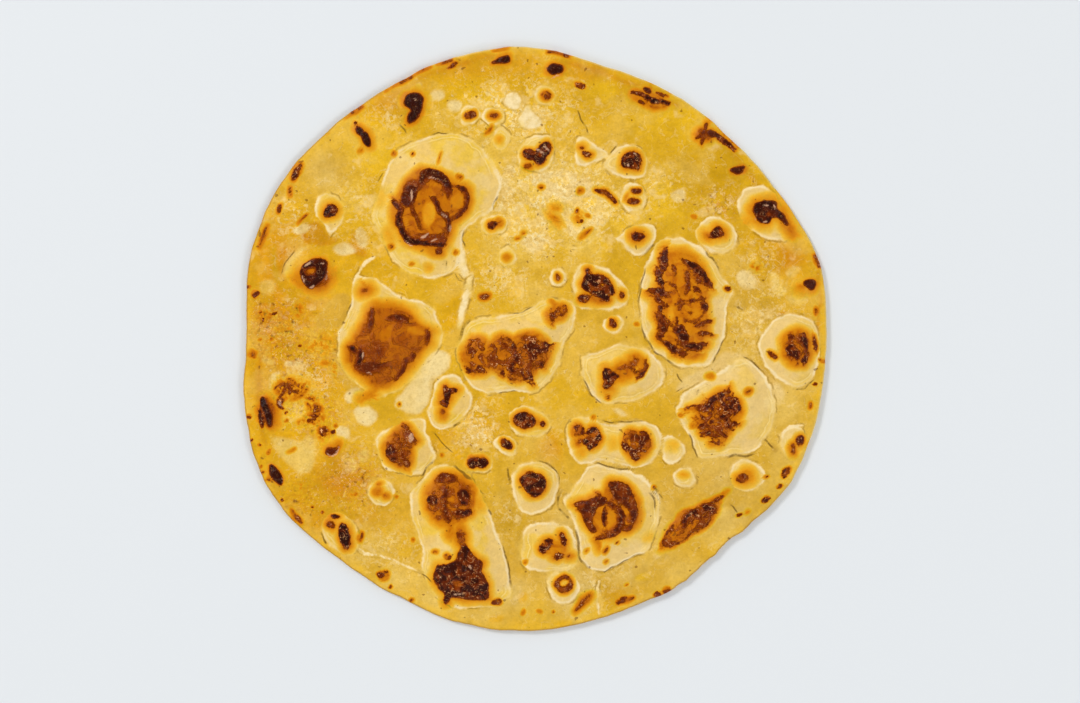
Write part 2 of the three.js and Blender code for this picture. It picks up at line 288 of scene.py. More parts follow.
            (2.2, 0.86, (67.7, -22.4), (68, -25), (68, -27.6)),
            (2.3, 0.88, (61, -24.2), (63, -22.6), (65.6, -20.9), (67.6, -20), (68.6, -18.4)),
            (2.0, 0.9, (62.6, -22.8), (63.8, -25)), (1.3, 0.8, (64, -25.4), (64.5, -28.4)),
            (1.8, 0.74, (54.8, -25.2), (57.5, -24.6), (60, -25.5), (62.4, -26.2)),
            (2.4, 0.82, (59, -28.6), (60, -29.2)), (1.5, 0.78, (58.6, -30.4), (60.6, -31.9)),
            (1.6, 0.82, (60, -30.4), (63, -30.3), (64.8, -29.2)),
            (1.9, 0.93, (65.6, -29.6), (67.5, -27.7), (69.4, -29.2), (70.3, -32)),
            (2.0, 0.95, (69.8, -30.8), (72.2, -30.3)), (1.4, 0.78, (67.2, -33), (68, -34.6), (68.6, -36)),
            (2.0, 0.97, (60.9, -33.7), (63, -34), (65.4, -35.2)), (1.5, 0.72, (64.6, -33.1), (67.4, -33.5)),
            (1.8, 0.7, (64, -37.3), (66.2, -37.8))],
    },
    "eye": {
        "skin": [(17, -48), (20, -45), (25, -46), (31, -47.5), (40, -50.5), (44, -55), (45.5, -59),
            (45, -66), (42.5, -73), (40, -77), (33, -80), (26, -84.5), (22, -85), (18, -83), (15.8, -78.5),
            (14, -68), (12, -64), (10, -59), (13, -54)],
        "halo": 3.6,
        "grit": 0.35,
        "char": [(0.42, (25.2, -65, 7, 6.4, 90)), (0.5, (31, -58, 6.4, 4, -30)),
            (0.52, (34.4, -65, 4, 2.4, 60)),
            (0.84, [(12.5, -59.6), (16, -58.6), (18, -58.8), (21, -57), (24, -56.6), (26, -58), (23, -60.2),
                (21, -62.2), (20.3, -65), (21, -68), (22.6, -70), (20.5, -70), (18.5, -68.5), (17, -65.5),
                (16.5, -62.5), (14.5, -61)]),
            (0.82, [(25.6, -52), (28.6, -51.4), (32, -51.8), (34.6, -54.6), (36, -58.6), (36.6, -62.4),
                (35.6, -66), (34, -66.4), (34, -63), (32.5, -60.5), (30, -59), (28, -57), (27, -54.5)]),
            (0.74, (32.8, -68, 1.9, 1.2, 15)), (0.12, (41.6, -72, 2.8, 1.6, 30))],
        "holes": [(0.32, (24.9, -64.4, 5.4, 5, 90)), (0.46, (32.4, -58.4, 2.4, 0.9, -10)),
            (0.42, (33.4, -64.8, 1.6, 1.4, 60))],
        "folds": [(2.0, 0.88, (24.4, -67), (24.3, -64.6), (24.6, -61.8)),
            (2.2, 0.86, (26.5, -58.8), (29.6, -60.8), (31.4, -64), (31, -67), (29.4, -69.6), (26.6, -71.3),
                (23, -72.3)), (1.7, 0.84, (15.8, -61.6), (18, -62.6)),
            (1.2, 0.74, (22.2, -55.2), (23.6, -57)), (1.7, 0.52, (22.2, -73), (22.8, -75.2))],
    },
    "hourglass": {
        "skin": [(-42.5, -52), (-40, -48.5), (-36.5, -46), (-32, -45.5), (-28, -46.5), (-25, -48.5),
            (-22.5, -52), (-19, -56.5), (-17.5, -61.5), (-15.5, -67), (-12.5, -74), (-10, -82), (-8.5, -90),
            (-9, -94), (-14, -97.5), (-22, -98.4), (-31, -97.4), (-36, -92.5), (-39.5, -87.5), (-42, -83),
            (-40.5, -78), (-43, -72), (-44.6, -66), (-45, -60), (-44.5, -55)],
        "halo": 3.6,
        "grit": 0.45,
        "char": [(0.5, (-31, -58, 9.4, 8.4, 80)), (0.54, (-27, -71, 3.6, 2.2, 100)),
            (0.4, (-30.4, -69.6, 2.6, 1.8, 90)), (0.18, (-20.4, -60, 3, 2, 110)),
            (0.76, [(-37.4, -51.4), (-35, -49), (-32, -48.4), (-29.4, -49.8), (-29.2, -51), (-31.6, -51.8),
                (-34.8, -52.2)]), (0.96, (-37, -58.5, 2, 1.9, 0)),
            (0.93, [(-28.4, -55), (-26, -54), (-24.2, -56), (-23.4, -59), (-25, -60), (-27.6, -59)]),
            (0.93, [(-26, -73), (-24.5, -74.5), (-23, -77), (-21, -79.3), (-18.7, -80.5), (-19, -82),
                (-20, -83.5), (-18.5, -86), (-17, -88), (-17, -91), (-16.3, -94), (-19, -94.5),
                (-24, -94.3), (-29, -93.3), (-31, -93.2), (-31.5, -95), (-32.5, -96.5), (-33, -94.5),
                (-32.5, -92), (-34, -91), (-35.5, -89), (-37, -86.5), (-36.5, -84), (-35, -81.5),
                (-32, -81), (-29, -80.5), (-28, -79), (-27.5, -76)])],
        "holes": [(0.36, (-29.8, -57.4, 2.4, 2, 85)), (0.46, (-28.3, -88.3, 2.4, 2.1, 20)),
            (0.5, (-35, -55, 1.6, 1.2, 60))],
        "folds": [(1.8, 0.8, (-31.6, -54), (-32.5, -58), (-32.5, -62), (-31, -66)),
            (2.3, 0.9, (-28.2, -62.3), (-24, -62.3)), (1.4, 0.8, (-28, -63), (-27.4, -65.4)),
            (1.7, 0.86, (-29.6, -90.4), (-27.4, -90.2)), (1.6, 0.74, (-27.4, -70.4), (-26, -74))],
    },
    "twoLobed": {
        "skin": [(16, -10.5), (16.5, -7.5), (18.5, -5.5), (21.5, -5), (26, -3.5), (29, -1.8), (32, -1.5),
            (36, -2.5), (40, -4), (43, -6.5), (45.5, -9), (46.5, -12.5), (46, -15.5), (44.5, -18),
            (41.5, -20.5), (38, -21.7), (33, -22.5), (29, -23.5), (26, -24), (22.5, -22.8), (20, -20),
            (18, -17), (16.8, -14)],
        "halo": 3.8,
        "grit": 0.6,
        "char": [
            (0.93, [(24.5, -10.8), (26, -11), (28, -12), (29.8, -13), (29.8, -14), (28.5, -15.5),
                (27, -17.5), (25.5, -18.8), (24.5, -17.5), (25, -15.5), (24, -13.5)]),
            (0.46, (31.6, -12, 4, 3, 20)), (0.66, (35.4, -8.6, 2.6, 1.8, 20)),
            (0.4, (26.2, -17, 3, 2, 90))],
        "folds": [(2.2, 0.82, (39.8, -9.8), (39.2, -12), (37.8, -13.8)),
            (1.2, 0.74, (34, -10.6), (35.6, -12.6), (37, -13))],
    },
    "joinedPair": {
        "skin": [(10, -34), (11, -31), (13, -29), (16, -27.6), (20, -27.7), (23, -29), (26, -31),
            (29, -31.6), (32, -30.5), (36, -30), (40, -30.3), (43.5, -32), (45.3, -35), (45.5, -39),
            (44.5, -42.5), (42.5, -45.5), (39, -47), (34, -47), (30, -46), (26, -45), (23, -44.5),
            (19, -45), (15, -45.5), (12.5, -43), (11, -39.5)],
        "halo": 2.8,
        "grit": 0.8,
        "char": [
            (0.93, [(18.5, -33), (21, -32), (23, -33.5), (23.8, -36), (22.5, -38.5), (20, -39.8),
                (17.5, -38.5), (16.5, -37), (18, -35.6)]),
            (0.8, [(14, -31.5), (16, -30.8), (17.8, -32.5), (18, -35), (15.5, -35.2), (13.3, -34.5)]),
            (0.18, (27.6, -37.8, 1.8, 2.2, 0)), (0.26, (16.6, -41.2, 1.6, 1.2, 40)),
            (0.46, (16, -37, 2.2, 1.6, 60)),
            (0.82, [(31, -37), (32, -34.5), (34, -33), (36, -34), (38.5, -33.5), (41, -35), (41.5, -38),
                (41, -41), (39, -42.5), (37, -44.5), (35, -43.5), (32.5, -41.5), (31.2, -39.5)])],
        "holes": [(0.36, (33.6, -37.4, 2, 1.2, 110)), (0.32, (37, -39.6, 1.2, 1, 20)),
            (0.42, (38, -35, 2, 1.1, 0))],
    },
    "foldedLeft": {
        "skin": [(-58, -35), (-54, -33), (-49, -30.4), (-44, -28), (-40.4, -28.4), (-39.4, -31),
            (-40.6, -35), (-38, -37.4), (-36.6, -41), (-36.5, -44), (-38.5, -46.5), (-42, -48.4),
            (-46, -49.4), (-51, -49), (-55, -46.6), (-57.6, -42)],
        "halo": 2.8,
        "grit": 0.45,
        "char": [
            (0.54, [(-55, -38), (-52, -35.4), (-48.4, -31.6), (-46, -31.4), (-42.4, -35), (-41, -37.2),
                (-43.4, -38.4), (-44, -42), (-44.4, -46), (-47, -47.4), (-51, -46), (-54.6, -43)]),
            (0.86, [(-54.5, -42), (-53, -38.5), (-51, -38), (-50, -41), (-49, -44), (-50, -45.5),
                (-52.5, -44)])],
        "holes": [(0.4, (-48.2, -38.6, 3.4, 1.1, 62)), (0.44, (-45, -40.4, 2.4, 1, 80))],
        "folds": [(1.8, 0.78, (-47.2, -31.8), (-45.4, -34), (-42.8, -36.8)),
            (2.1, 0.9, (-46.2, -43.6), (-45.4, -46)), (1.3, 0.78, (-50, -35), (-47.6, -41), (-47.4, -43.6)),
            (1.1, 0.74, (-50.8, -37), (-49.2, -41.6))],
    },
    "lowMiddle": {
        "skin": [(-9.6, -53), (-8.6, -47.6), (-5, -44.6), (0, -44.3), (4, -45.4), (7, -48), (8.6, -51.4),
            (9.2, -55), (7.4, -60), (3, -63), (-3, -63.4), (-7.6, -60)],
        "halo": 3.2,
        "grit": 0.45,
        "char": [
            (0.93, [(-5.6, -52), (-4.6, -49.4), (-1.6, -47.8), (2, -48.6), (4, -51), (3.6, -54),
                (1.6, -56.6), (-1.6, -57.2), (-3.4, -55)])],
    },
    "threeSpots": {
        "skin": [(-2, -67), (3, -66), (8, -66.4), (12.5, -68), (14, -72), (15, -77), (15.3, -80),
            (14, -82.6), (11, -84), (6, -84.6), (1, -84.6), (-3.5, -83), (-5, -80), (-5, -75), (-4.5, -70)],
        "halo": 3.0,
        "grit": 0.8,
        "char": [
            (0.9, [(1, -76), (2.5, -74), (4, -72.3), (5.8, -72.5), (6, -74), (5, -76), (3, -77.8),
                (1.2, -77.2)]),
            (0.86, [(8, -70.5), (9.5, -70), (10.5, -72), (10.8, -74.5), (9.8, -75), (8.8, -73.5)]),
            (0.86, (8.3, -78.2, 1.9, 1.1, 10)), (0.56, (12.3, -78.7, 1.5, 0.8, -10)),
            (0.38, (7.4, -75.8, 3.8, 2.4, 0))],
    },
    "ringLow": {
        "skin": [(4.5, -86), (7, -84.6), (11, -84), (14.5, -85.5), (16, -88.5), (15.5, -92), (13, -95),
            (9.5, -96), (6.5, -94.5), (4.5, -91), (4, -88)],
        "halo": 1.9,
        "grit": 0.4,
        "char": [(0.74, (10.3, -88.8, 3.4, 3.2, 90))],
        "holes": [(0.08, (10.5, -88.2, 2.2, 1.8, 10))],
    },
    "rightEdge": {
        "skin": [(80, -3), (81, 1), (83, 3.5), (85, 7), (88, 8.5), (92, 9.2), (96, 8.5), (100, 6.5),
            (102.4, 3), (103, -4), (102, -11), (99, -17), (93, -18.4), (87.6, -15), (83, -9.6)],
        "halo": 3.4,
        "grit": 0.6,
        "char": [(0.5, (94.2, -3.4, 6.6, 5.4, 100)),
            (0.88, [(89.5, -4), (91.5, -2), (93.5, -2), (94.6, -5), (95, -8), (93, -7), (91, -6)]),
            (0.88, [(96, -6.5), (98.3, -6), (97.8, -8.6), (97, -10.5), (96, -8.6)])],
        "folds": [(2.3, 0.93, (96.6, 1), (97.2, -2), (97.6, -4.6)),
            (1.4, 0.8, (100.7, 1), (101.4, -1.6), (102, -4)), (1.6, 0.8, (91.6, 1), (93, 0.6))],
    },
    "upperEdge": {
        "skin": [(73, 48.6), (73.6, 52), (76, 54.6), (80, 55.6), (84, 54), (88, 50), (93, 43), (95.6, 37.6),
            (91, 35.4), (85, 35), (81, 36.5), (78, 39), (75, 42.5), (73.4, 45.6)],
        "halo": 4.6,
        "grit": 0.3,
        "char": [
            (0.95, [(78, 46.5), (79, 48.8), (81, 49.3), (84, 49.5), (86.5, 50), (87.3, 48.5), (87, 46),
                (89.5, 45), (90.5, 43), (91.5, 40.5), (90, 40.5), (88.5, 43), (86, 43), (84.5, 42.5),
                (84, 41), (82, 41), (80, 43), (78.7, 44.5)]), (0.6, (92.2, 39, 1.8, 0.7, -50)),
            (0.2, (76.4, 42.6, 3, 2, 40)), (0.32, (88.6, 47.6, 4, 2, -50))],
        "holes": [(0.46, (83.1, 44.2, 1.5, 1.0, -45))],
    },
    "inkBlot": {
        "skin": [(15, 26), (18, 27), (22, 26.7), (26, 25.3), (30, 22.5), (33, 18.5), (34.3, 15.5), (33, 12),
            (31, 10.6), (26, 10.5), (21, 10.3), (17, 10.2), (14.5, 12), (13.2, 15), (13, 19), (13.5, 23)],
        "halo": 2.6,
        "grit": 0.6,
        "char": [
            (0.93, [(16.5, 20), (17, 21.5), (18.5, 22.8), (17.6, 25), (19, 25), (20, 22.6), (22, 22.9),
                (24.5, 22.6), (26.5, 20.5), (28, 18), (28.5, 16.5), (27.5, 15.3), (26, 15.8), (27, 13),
                (25, 13.5), (22.5, 15), (20, 16), (18, 17), (16.7, 18.5)]),
            (0.84, (17.2, 14.2, 1.9, 1.3, 0)), (0.86, (31, 15.7, 1.2, 0.9, 80)),
            (0.46, (22, 14.6, 5, 2, -8))],
        "holes": [(0.3, (24.1, 18.8, 1.3, 1.1, 0)), (0.46, (20.5, 17.6, 1.4, 0.8, 20)),
            (0.5, (22.4, 20.4, 0.9, 0.6, 20))],
    },
    "slanted": {
        "skin": [(-38.4, -22), (-39.4, -27), (-38, -31), (-35.5, -33.5), (-32.5, -33.5), (-29, -31),
            (-26.5, -28.5), (-24, -26), (-22.7, -23), (-23, -20.5), (-25, -18), (-27, -14.4), (-31, -12.5),
            (-35, -14), (-37.4, -17.6)],
        "halo": 3.0,
        "grit": 0.7,
        "char": [
            (0.9, [(-33.2, -17), (-32.3, -16.3), (-31.5, -18), (-30.5, -17.8), (-28.5, -17.8), (-27.8, -19),
                (-28.5, -20), (-30, -20), (-31, -22), (-31, -24.5), (-32.5, -25), (-34.8, -23.8),
                (-34.5, -22.3), (-32.8, -22), (-32.7, -20)]), (0.52, (-33.5, -27.2, 1.8, 1.2, 85)),
            (0.4, (-32, -21, 4, 2.6, 70))],
    },
    "leftSwirl": {
        "skin": [(-92, 22), (-91, 26.5), (-88.5, 30.5), (-85, 33.5), (-80, 34.3), (-75, 32.5),
            (-71.5, 28.5), (-70.5, 23), (-72.5, 17.5), (-76.5, 13.5), (-81.5, 12.5), (-86, 15),
            (-89.5, 18.5)],
        "ringed": False,
        "halo": 4.0,
        "grit": 0.2,
        "char": [
            (0.93, [(-84.5, 23), (-83.5, 26.5), (-81, 28.3), (-78, 29), (-75.5, 28.5), (-74.8, 26),
                (-75.5, 23), (-77, 20.3), (-79.5, 18.5), (-82, 17.8), (-83.8, 20)]),
            (0.62, (-77.4, 20.4, 3.8, 2.4, 40)), (0.26, (-79.6, 22.4, 8.6, 7, 10))],
        "holes": [(0.44, (-80.8, 24, 2.6, 2, 30))],
        "folds": [(1.1, 0.9, (-82, 22), (-80.4, 21.4), (-78.6, 22))],
    },
    "leaf": {
        "skin": [(44.6, -76.8), (45.6, -71.6), (49.4, -65), (51.8, -61), (60, -58.4), (68.6, -54.8),
            (68.6, -58.6), (65.6, -64.4), (62.4, -68.8), (57.2, -72.4), (52, -74.8)],
        "ringed": False,
        "halo": 1.9,
        "grit": 0.6,
        "char": [
            (0.48, [(45, -76.2), (46, -72), (47.6, -68.6), (50, -66), (52, -62), (56, -61), (60, -59.6),
                (64, -57.4), (68, -55.6), (67.4, -59), (65, -64), (62, -68), (57, -71.6), (52, -74)])],
        "folds": [(1.6, 0.74, (45.4, -75.6), (50, -73.8), (54, -71.6)),
            (2.0, 0.84, (55, -70.4), (60, -66.8), (63.8, -62)),
            (1.5, 0.72, (45.4, -74.6), (47.6, -69.8), (50.4, -66.6)),
            (1.5, 0.78, (50.8, -71), (53, -68.4), (54.4, -65.4)),
            (3.0, 0.9, (54.4, -64.4), (58, -62), (62.8, -60)), (2.2, 0.9, (58.4, -66.8), (60.4, -64.8)),
            (1.6, 0.8, (64, -59.2), (66.8, -57.2)), (1.5, 0.62, (66.6, -57.4), (68.8, -54.6))],
    },
    "roundUpper": {
        "skin": [(26.7, 66), (29, 68.5), (32, 70), (36, 69.8), (39, 67.8), (41, 64.5), (41, 61), (39.5, 58),
            (36.5, 57), (33, 57.2), (29.5, 58.2), (26, 60), (24.4, 63)],
        "halo": 3.0,
        "grit": 0.6,
        "char": [
            (0.92, [(30.5, 62.2), (31, 64.5), (32.5, 66.5), (35, 67.2), (37.5, 65.8), (38, 63.5),
                (37.2, 61.5), (36.5, 60.5), (34.5, 61), (32.5, 60.8), (31, 61.3)])],
        "holes": [(0.46, (34.3, 64.8, 0.9, 0.8, 0))],
    },
}

# Small blisters: the outline as an oval or corners, how far the gold glows out, then each browned place
buttons = [
    ([(-6.8, 67), (-5.5, 70), (-3, 71.5), (0, 72.8), (4, 73.3), (6.5, 71.5), (7.5, 68.5), (7, 64.5),
        (5, 61.5), (2.5, 59.5), (-1, 60), (-4, 61), (-6, 63.5)], 2.2, (0.92, [(0.2, 67.5), (2, 70.3),
        (4, 71), (5.5, 70), (5.5, 67.5), (4, 65.5), (2.5, 63), (1, 62.3), (-0.8, 63.2), (-1, 65.5)]), (0.9,
        [(-4.5, 66.5), (-3, 68), (-1, 67.8), (0, 66), (-1, 63.8), (-3.5, 64.5)]),
        (0.74, (-2.8, 62, 1.2, 0.6, -15))),
    ([(14.8, 71.5), (17, 73), (20, 71.5), (24, 69), (27, 66.7), (25, 65), (21, 63.2), (17, 61.8),
        (14.8, 63), (14.2, 67)], 2.6, (0.62, (17.2, 68.9, 1.1, 0.9, 0)), (0.84, [(16.7, 67), (18, 67.6),
        (21, 66.4), (19.5, 65.2), (18, 65)])),
    ([(27.7, 36), (30, 37), (32, 38.5), (34, 40.5), (37, 41.8), (40, 41.7), (43, 40.5), (44.3, 38),
        (44, 35.5), (42, 32.5), (40, 30.5), (37, 29.8), (35, 29.8), (32.5, 31.5), (31, 33.5),
        (29.5, 35)], 3.6, (0.88, (37, 36.6, 2.2, 1.6, 10))),
    ([(58, 36), (58.5, 40), (61, 43), (65, 44.3), (69, 43), (72, 39.5), (73, 35.5), (71.5, 32),
        (68.5, 30.3), (64, 30.8), (60.5, 32)], 3.8, (0.9, [(63, 37.5), (65.5, 40.8), (68.2, 38.5),
        (68, 36.5), (65.5, 36), (63.5, 36.6)]), (0.5, (63.2, 37.2, 2.2, 1.2, 0))),
    ((27.8, 5.2, 4, 3.4, 0), 1.8, (0.6, (28, 5.5, 1.7, 1.5, 0)), (0.8, (27.6, 6.3, 1.1, 0.7, -20)),
        (0.8, (28.6, 4.7, 0.9, 0.8, 0))),
    ((-14.8, 41, 4.8, 3.9, 20), 2.0, (0.9, (-15.6, 40.6, 1.6, 1.2, 20)),
        (0.5, (-13.4, 41.4, 1.3, 1.1, 20))),
    ((-10, 29.2, 3.6, 3.5, 0), 1.6, (0.42, (-10, 29.2, 1.4, 1.2, 0))),
    ((8, 22, 3.4, 3.2, 0), 1.4, (0.62, (8, 21.8, 1.6, 1.1, 90))),
    ([(-28, 81.5), (-26, 84), (-22.5, 84.3), (-20, 82.5), (-19.3, 79.5), (-21, 77), (-24, 76.3),
        (-27, 77.5)], 1.6, (0.76, (-23.5, 80.4, 2, 1.3, 20))),
    ([(-19.5, 80.5), (-18, 83.5), (-14.5, 84), (-11.5, 82.5), (-11, 79.5), (-13, 77), (-16, 76.8),
        (-18.5, 78)], 1.6, (0.62, (-15.1, 80.2, 2, 1.1, 0))),
    ((3.4, 87.8, 4, 3.5, 0), 1.8, (0.7, (3.6, 87.7, 1.9, 1.4, 0))),
    ([(-12.5, 77.5), (-15.5, 75), (-16.5, 71.5), (-16, 68.5), (-13.5, 67.3), (-11, 68), (-9.5, 70.5),
        (-9.3, 73), (-11, 75.5)], 1.6, (0.2, (-13.2, 71.7, 1.6, 1.4, 0))),
    ([(-10, -29.5), (-9.3, -26.5), (-6.5, -25), (-2, -24.5), (1.5, -26), (4.5, -28.5), (5.3, -31), (4, -34),
        (0.5, -35.5), (-4, -35.3), (-7.5, -33.8), (-9.5, -32)], 2.6, (0.9, (-4, -29.8, 3.6, 3, -20)),
        (0.8, (2.4, -30.9, 1.2, 1.1, 90)), (0.36, (-1, -30.4, 3, 2, 0))),
    ([(-16, -37), (-14, -35), (-10.5, -34.3), (-8, -35.5), (-6, -38), (-6.5, -41), (-9, -42.5),
        (-12, -41.5), (-14.5, -39.5)], 1.6, (0.93, (-10.4, -38, 2.5, 1.4, -38))),
    ([(-25.5, -44.5), (-23.5, -41.5), (-20.5, -40.6), (-17, -41.5), (-15.2, -44.5), (-16, -47.5),
        (-19.5, -49), (-23.5, -48.5)], 2.2, (0.93, (-22.3, -44.8, 2, 1.8, 0)),
        (0.93, (-18.9, -44.7, 1.9, 1.8, 0)), (0.93, (-20.6, -43.7, 1.8, 0.9, 0))),
    ([(70.5, -50), (70.5, -46.5), (72.5, -44), (76, -43), (79.5, -44.5), (82, -47), (83.3, -50),
        (82.5, -53), (78, -56), (73, -55.5), (71, -53)], 3.4, (0.74, (74.3, -50.7, 1.9, 1.5, 0)),
        (0.34, (76.6, -49.6, 2.6, 2.4, 0))),
    ([(45.5, -35), (49, -35.3), (52, -37), (54.3, -40), (53.5, -43), (50.5, -45), (47.5, -44.8),
        (46, -42)], 2.4, (0.16, (49.4, -39.3, 1.8, 1.6, 0))),
    ((54, -49.8, 4.2, 4, 0), 2.0, (0.22, (53.3, -49.4, 1.7, 1, 0))),
    ([(88.3, -36), (89.5, -33.5), (92.5, -31.8), (95.5, -32), (98, -34.5), (98.5, -38), (96.5, -41.5),
        (93.5, -43.5), (90.5, -42), (88.8, -39)], 2.6, (0.84, (95.2, -37.2, 2, 1.5, 80)),
        (0.56, (92.7, -40.4, 2.1, 1.1, 95))),
    ([(-77.5, -67), (-75.5, -63.5), (-71.5, -62.8), (-67.5, -64.5), (-64.5, -68.5), (-63.8, -73.5),
        (-66, -78), (-70, -78.5), (-74, -76), (-77, -72)], 3.0, (0.97, (-68.6, -71.4, 4.8, 2.1, -84)),
        (0.84, (-73.5, -67.4, 1.7, 1, -30)), (0.93, (-72, -64.3, 1.6, 0.8, 0))),
    ((-55.5, -55.5, 5, 4.8, 0), 2.2, (0.46, (-56.6, -55.4, 1.8, 1.3, 30)), (0.6, (-54.2, -57, 0.9, 0.7, 0)),
        (0.5, (-56.4, -52.8, 0.8, 0.6, 0))),
    ([(-80, 48), (-79.8, 43.8), (-77.5, 41.5), (-75.5, 39), (-74.6, 36.8), (-73, 39), (-70, 41.5),
        (-69, 45), (-70, 49), (-72.5, 52), (-76, 53), (-79, 51)], 3.4, (0.95, (-74, 46, 2.5, 2.1, 40))),
    ((-27.2, 57.8, 2.1, 2, 0), 0.8, (0.66, (-27.2, 57.8, 1.1, 1, 0))),
    ((35.2, 50.8, 4.9, 4.8, 0), 1.4, (0.8, (36.3, 52.9, 1.7, 0.8, 10)), (0.76, (35.4, 49.1, 2, 1.1, 10)),
        (0.36, (33, 50.6, 1.4, 0.6, 60))),
]

# Low swells with no ring round them, in the same form: the brown glows straight out into the sheet
swells = [
    ((62, 73, 7, 5.5, -25), 3.0, (0.52, (60.8, 73.6, 3.2, 2.4, -30)), (0.86, (63.6, 73.8, 1.8, 1.3, 0)),
        (0.74, (61.6, 76.4, 1.6, 0.7, 80)), (0.74, (58.6, 72.4, 1.5, 0.6, 30)),
        (0.72, (60, 70.8, 1.4, 0.6, 70)), (0.76, (60.6, 74, 1.2, 0.8, 20))),
    ((72.5, 60.5, 5, 3.8, 15), 2.7, (0.88, [(69.8, 60.5), (71.4, 61.6), (73.4, 62), (75.8, 62.8),
        (74.8, 61), (74, 59.6), (72.2, 59), (70.6, 59.6)]), (0.42, (73, 60.8, 3.2, 1.8, 20))),
    ((96.5, 19.5, 6, 5, 70), 4.2, (0.9, [(96.5, 19.5), (98.5, 21.3), (100.8, 20.5), (101, 18.5),
        (99.5, 17.3), (97.8, 18)]), (0.4, (96, 18.4, 2, 1.2, 0))),
    ((-44.5, 84, 6.3, 4.6, 75), 3.9, (0.97, [(-47.5, 86), (-46.5, 88.3), (-44, 89.2), (-41.5, 88.5),
        (-40.3, 86), (-41, 83), (-42.3, 80.5), (-43.5, 78.7), (-46, 77.7), (-46.8, 79), (-45.8, 80.8),
        (-44.5, 81.8), (-46, 83.3), (-47.3, 84.5)])),
    ((-62, 73, 6, 4.6, -40), 3.6, (0.97, (-63.4, 74.6, 1.9, 1.2, -45)),
        (0.97, (-61.2, 71.8, 2.6, 1.4, 110))),
    ((40, 87, 8.5, 4, -15), 3.0, (0.38, (40.4, 86.6, 7.4, 3.2, -16)), (0.88, (40.4, 89.7, 1.7, 0.8, -25)),
        (0.74, (37.8, 84.8, 1.3, 0.6, -25))),
    ((-97, -26.5, 7.5, 4.2, 100), 4.5, (0.5, (-96.6, -27, 6, 3, 98)), (0.97, [(-99.3, -21.5), (-98, -21),
        (-96.5, -24.5), (-95, -27.5), (-95, -31), (-96, -32.5), (-97, -31.5), (-97.5, -28), (-98.5, -25),
        (-99.3, -23)])),
    ((-93.5, -49.5, 5.6, 3.7, -62), 3.3, (0.97, (-93.9, -49.4, 4.1, 1.5, -62))),
    ((-73.5, -40.5, 5, 4, 0), 3.9, (0.8, (-74, -40.6, 2.2, 1.2, 10)), (0.62, (-72, -39.6, 1.6, 1, 50))),
    ((6.5, 44, 5, 4.5, 90), 3.0, (0.34, (7.4, 47.2, 1.1, 0.7, 0)), (0.4, (6.8, 43.2, 2, 0.5, -52))),
    ((7, 97, 4.6, 3.2, -8), 3.9, (0.95, (7, 97.2, 3.1, 2, -6))),
    ((-12.6, 100.2, 4.8, 2.4, 14), 3.9, (0.96, [(-16.7, 99.8), (-14.5, 100.5), (-12, 101.5), (-9.8, 102.2),
        (-9.3, 100.8), (-10, 99.5), (-12.5, 99), (-15, 99.2)])),
]

# Pale flakes lifted off the sheet, each an oval or corners; the clearest have a crisp border
clearFlakes = [
    [(-7.4, 90), (-5.2, 87), (-4.9, 85), (-6.2, 82.2), (-9.6, 82.6), (-11.4, 85.4), (-10.2, 88.6)],
    [(-3.4, 85.2), (-1.4, 82.6), (1.2, 80), (2.6, 77.8), (1.2, 75.6), (-5.2, 75.8), (-6.4, 78.2),
        (-4.8, 81.6)], (-25.2, 13.5, 9.8, 1.1, 78), (-26, 27.5, 5.8, 1.5, 100),
]

flakes = clearFlakes + [
    [(-73.3, 31.8), (-72, 34.3), (-69, 35), (-66.5, 33.8), (-64.5, 30.8), (-69, 29)],
    [(-66, -27), (-64.5, -25), (-62, -24), (-59.5, -24.5), (-57.5, -27), (-57, -30), (-59.5, -32),
        (-63, -31.5), (-65, -30)],
    [(-73, -33.5), (-71, -32), (-68, -32.3), (-67, -34.5), (-68, -36.5), (-70.5, -35.5)],
    [(-69.5, -21), (-69, -19), (-66, -18), (-63, -18.2), (-63, -20), (-65, -22.5), (-68, -23.5)],
    [(-91, -8.5), (-87, -7.8), (-84, -9), (-83, -11), (-87, -11), (-90, -10)],
    [(-96.5, -16.5), (-94.5, -13), (-91.5, -12), (-92.5, -14.5), (-94, -18), (-95.5, -19)],
    [(72.5, 24), (77, 24.7), (79.5, 22.5), (80.5, 19.5), (78.5, 17.2), (75.5, 17), (74, 19.5)],
    [(-40, -6), (-34, -3.6), (-30.4, -7), (-31.6, -11.6), (-37, -15), (-39, -22), (-41, -27), (-46, -27),
        (-52, -24.4), (-47, -18), (-43, -12)],
    [(-32, 85), (-30.4, 86.4), (-27.6, 85.6), (-26.8, 83.6), (-28.6, 81.8), (-31.6, 82.4)],
    [(-38.4, 88), (-36, 90), (-33, 89), (-32.6, 86.6), (-35.4, 85.6), (-37.6, 86)],
    (-63, 36.6, 3.6, 2.1, 95), (-85, 40, 2.8, 1.8, 20), (31, -27, 2.4, 1, -30), (51, 51.6, 2.6, 2.3, 0),
]

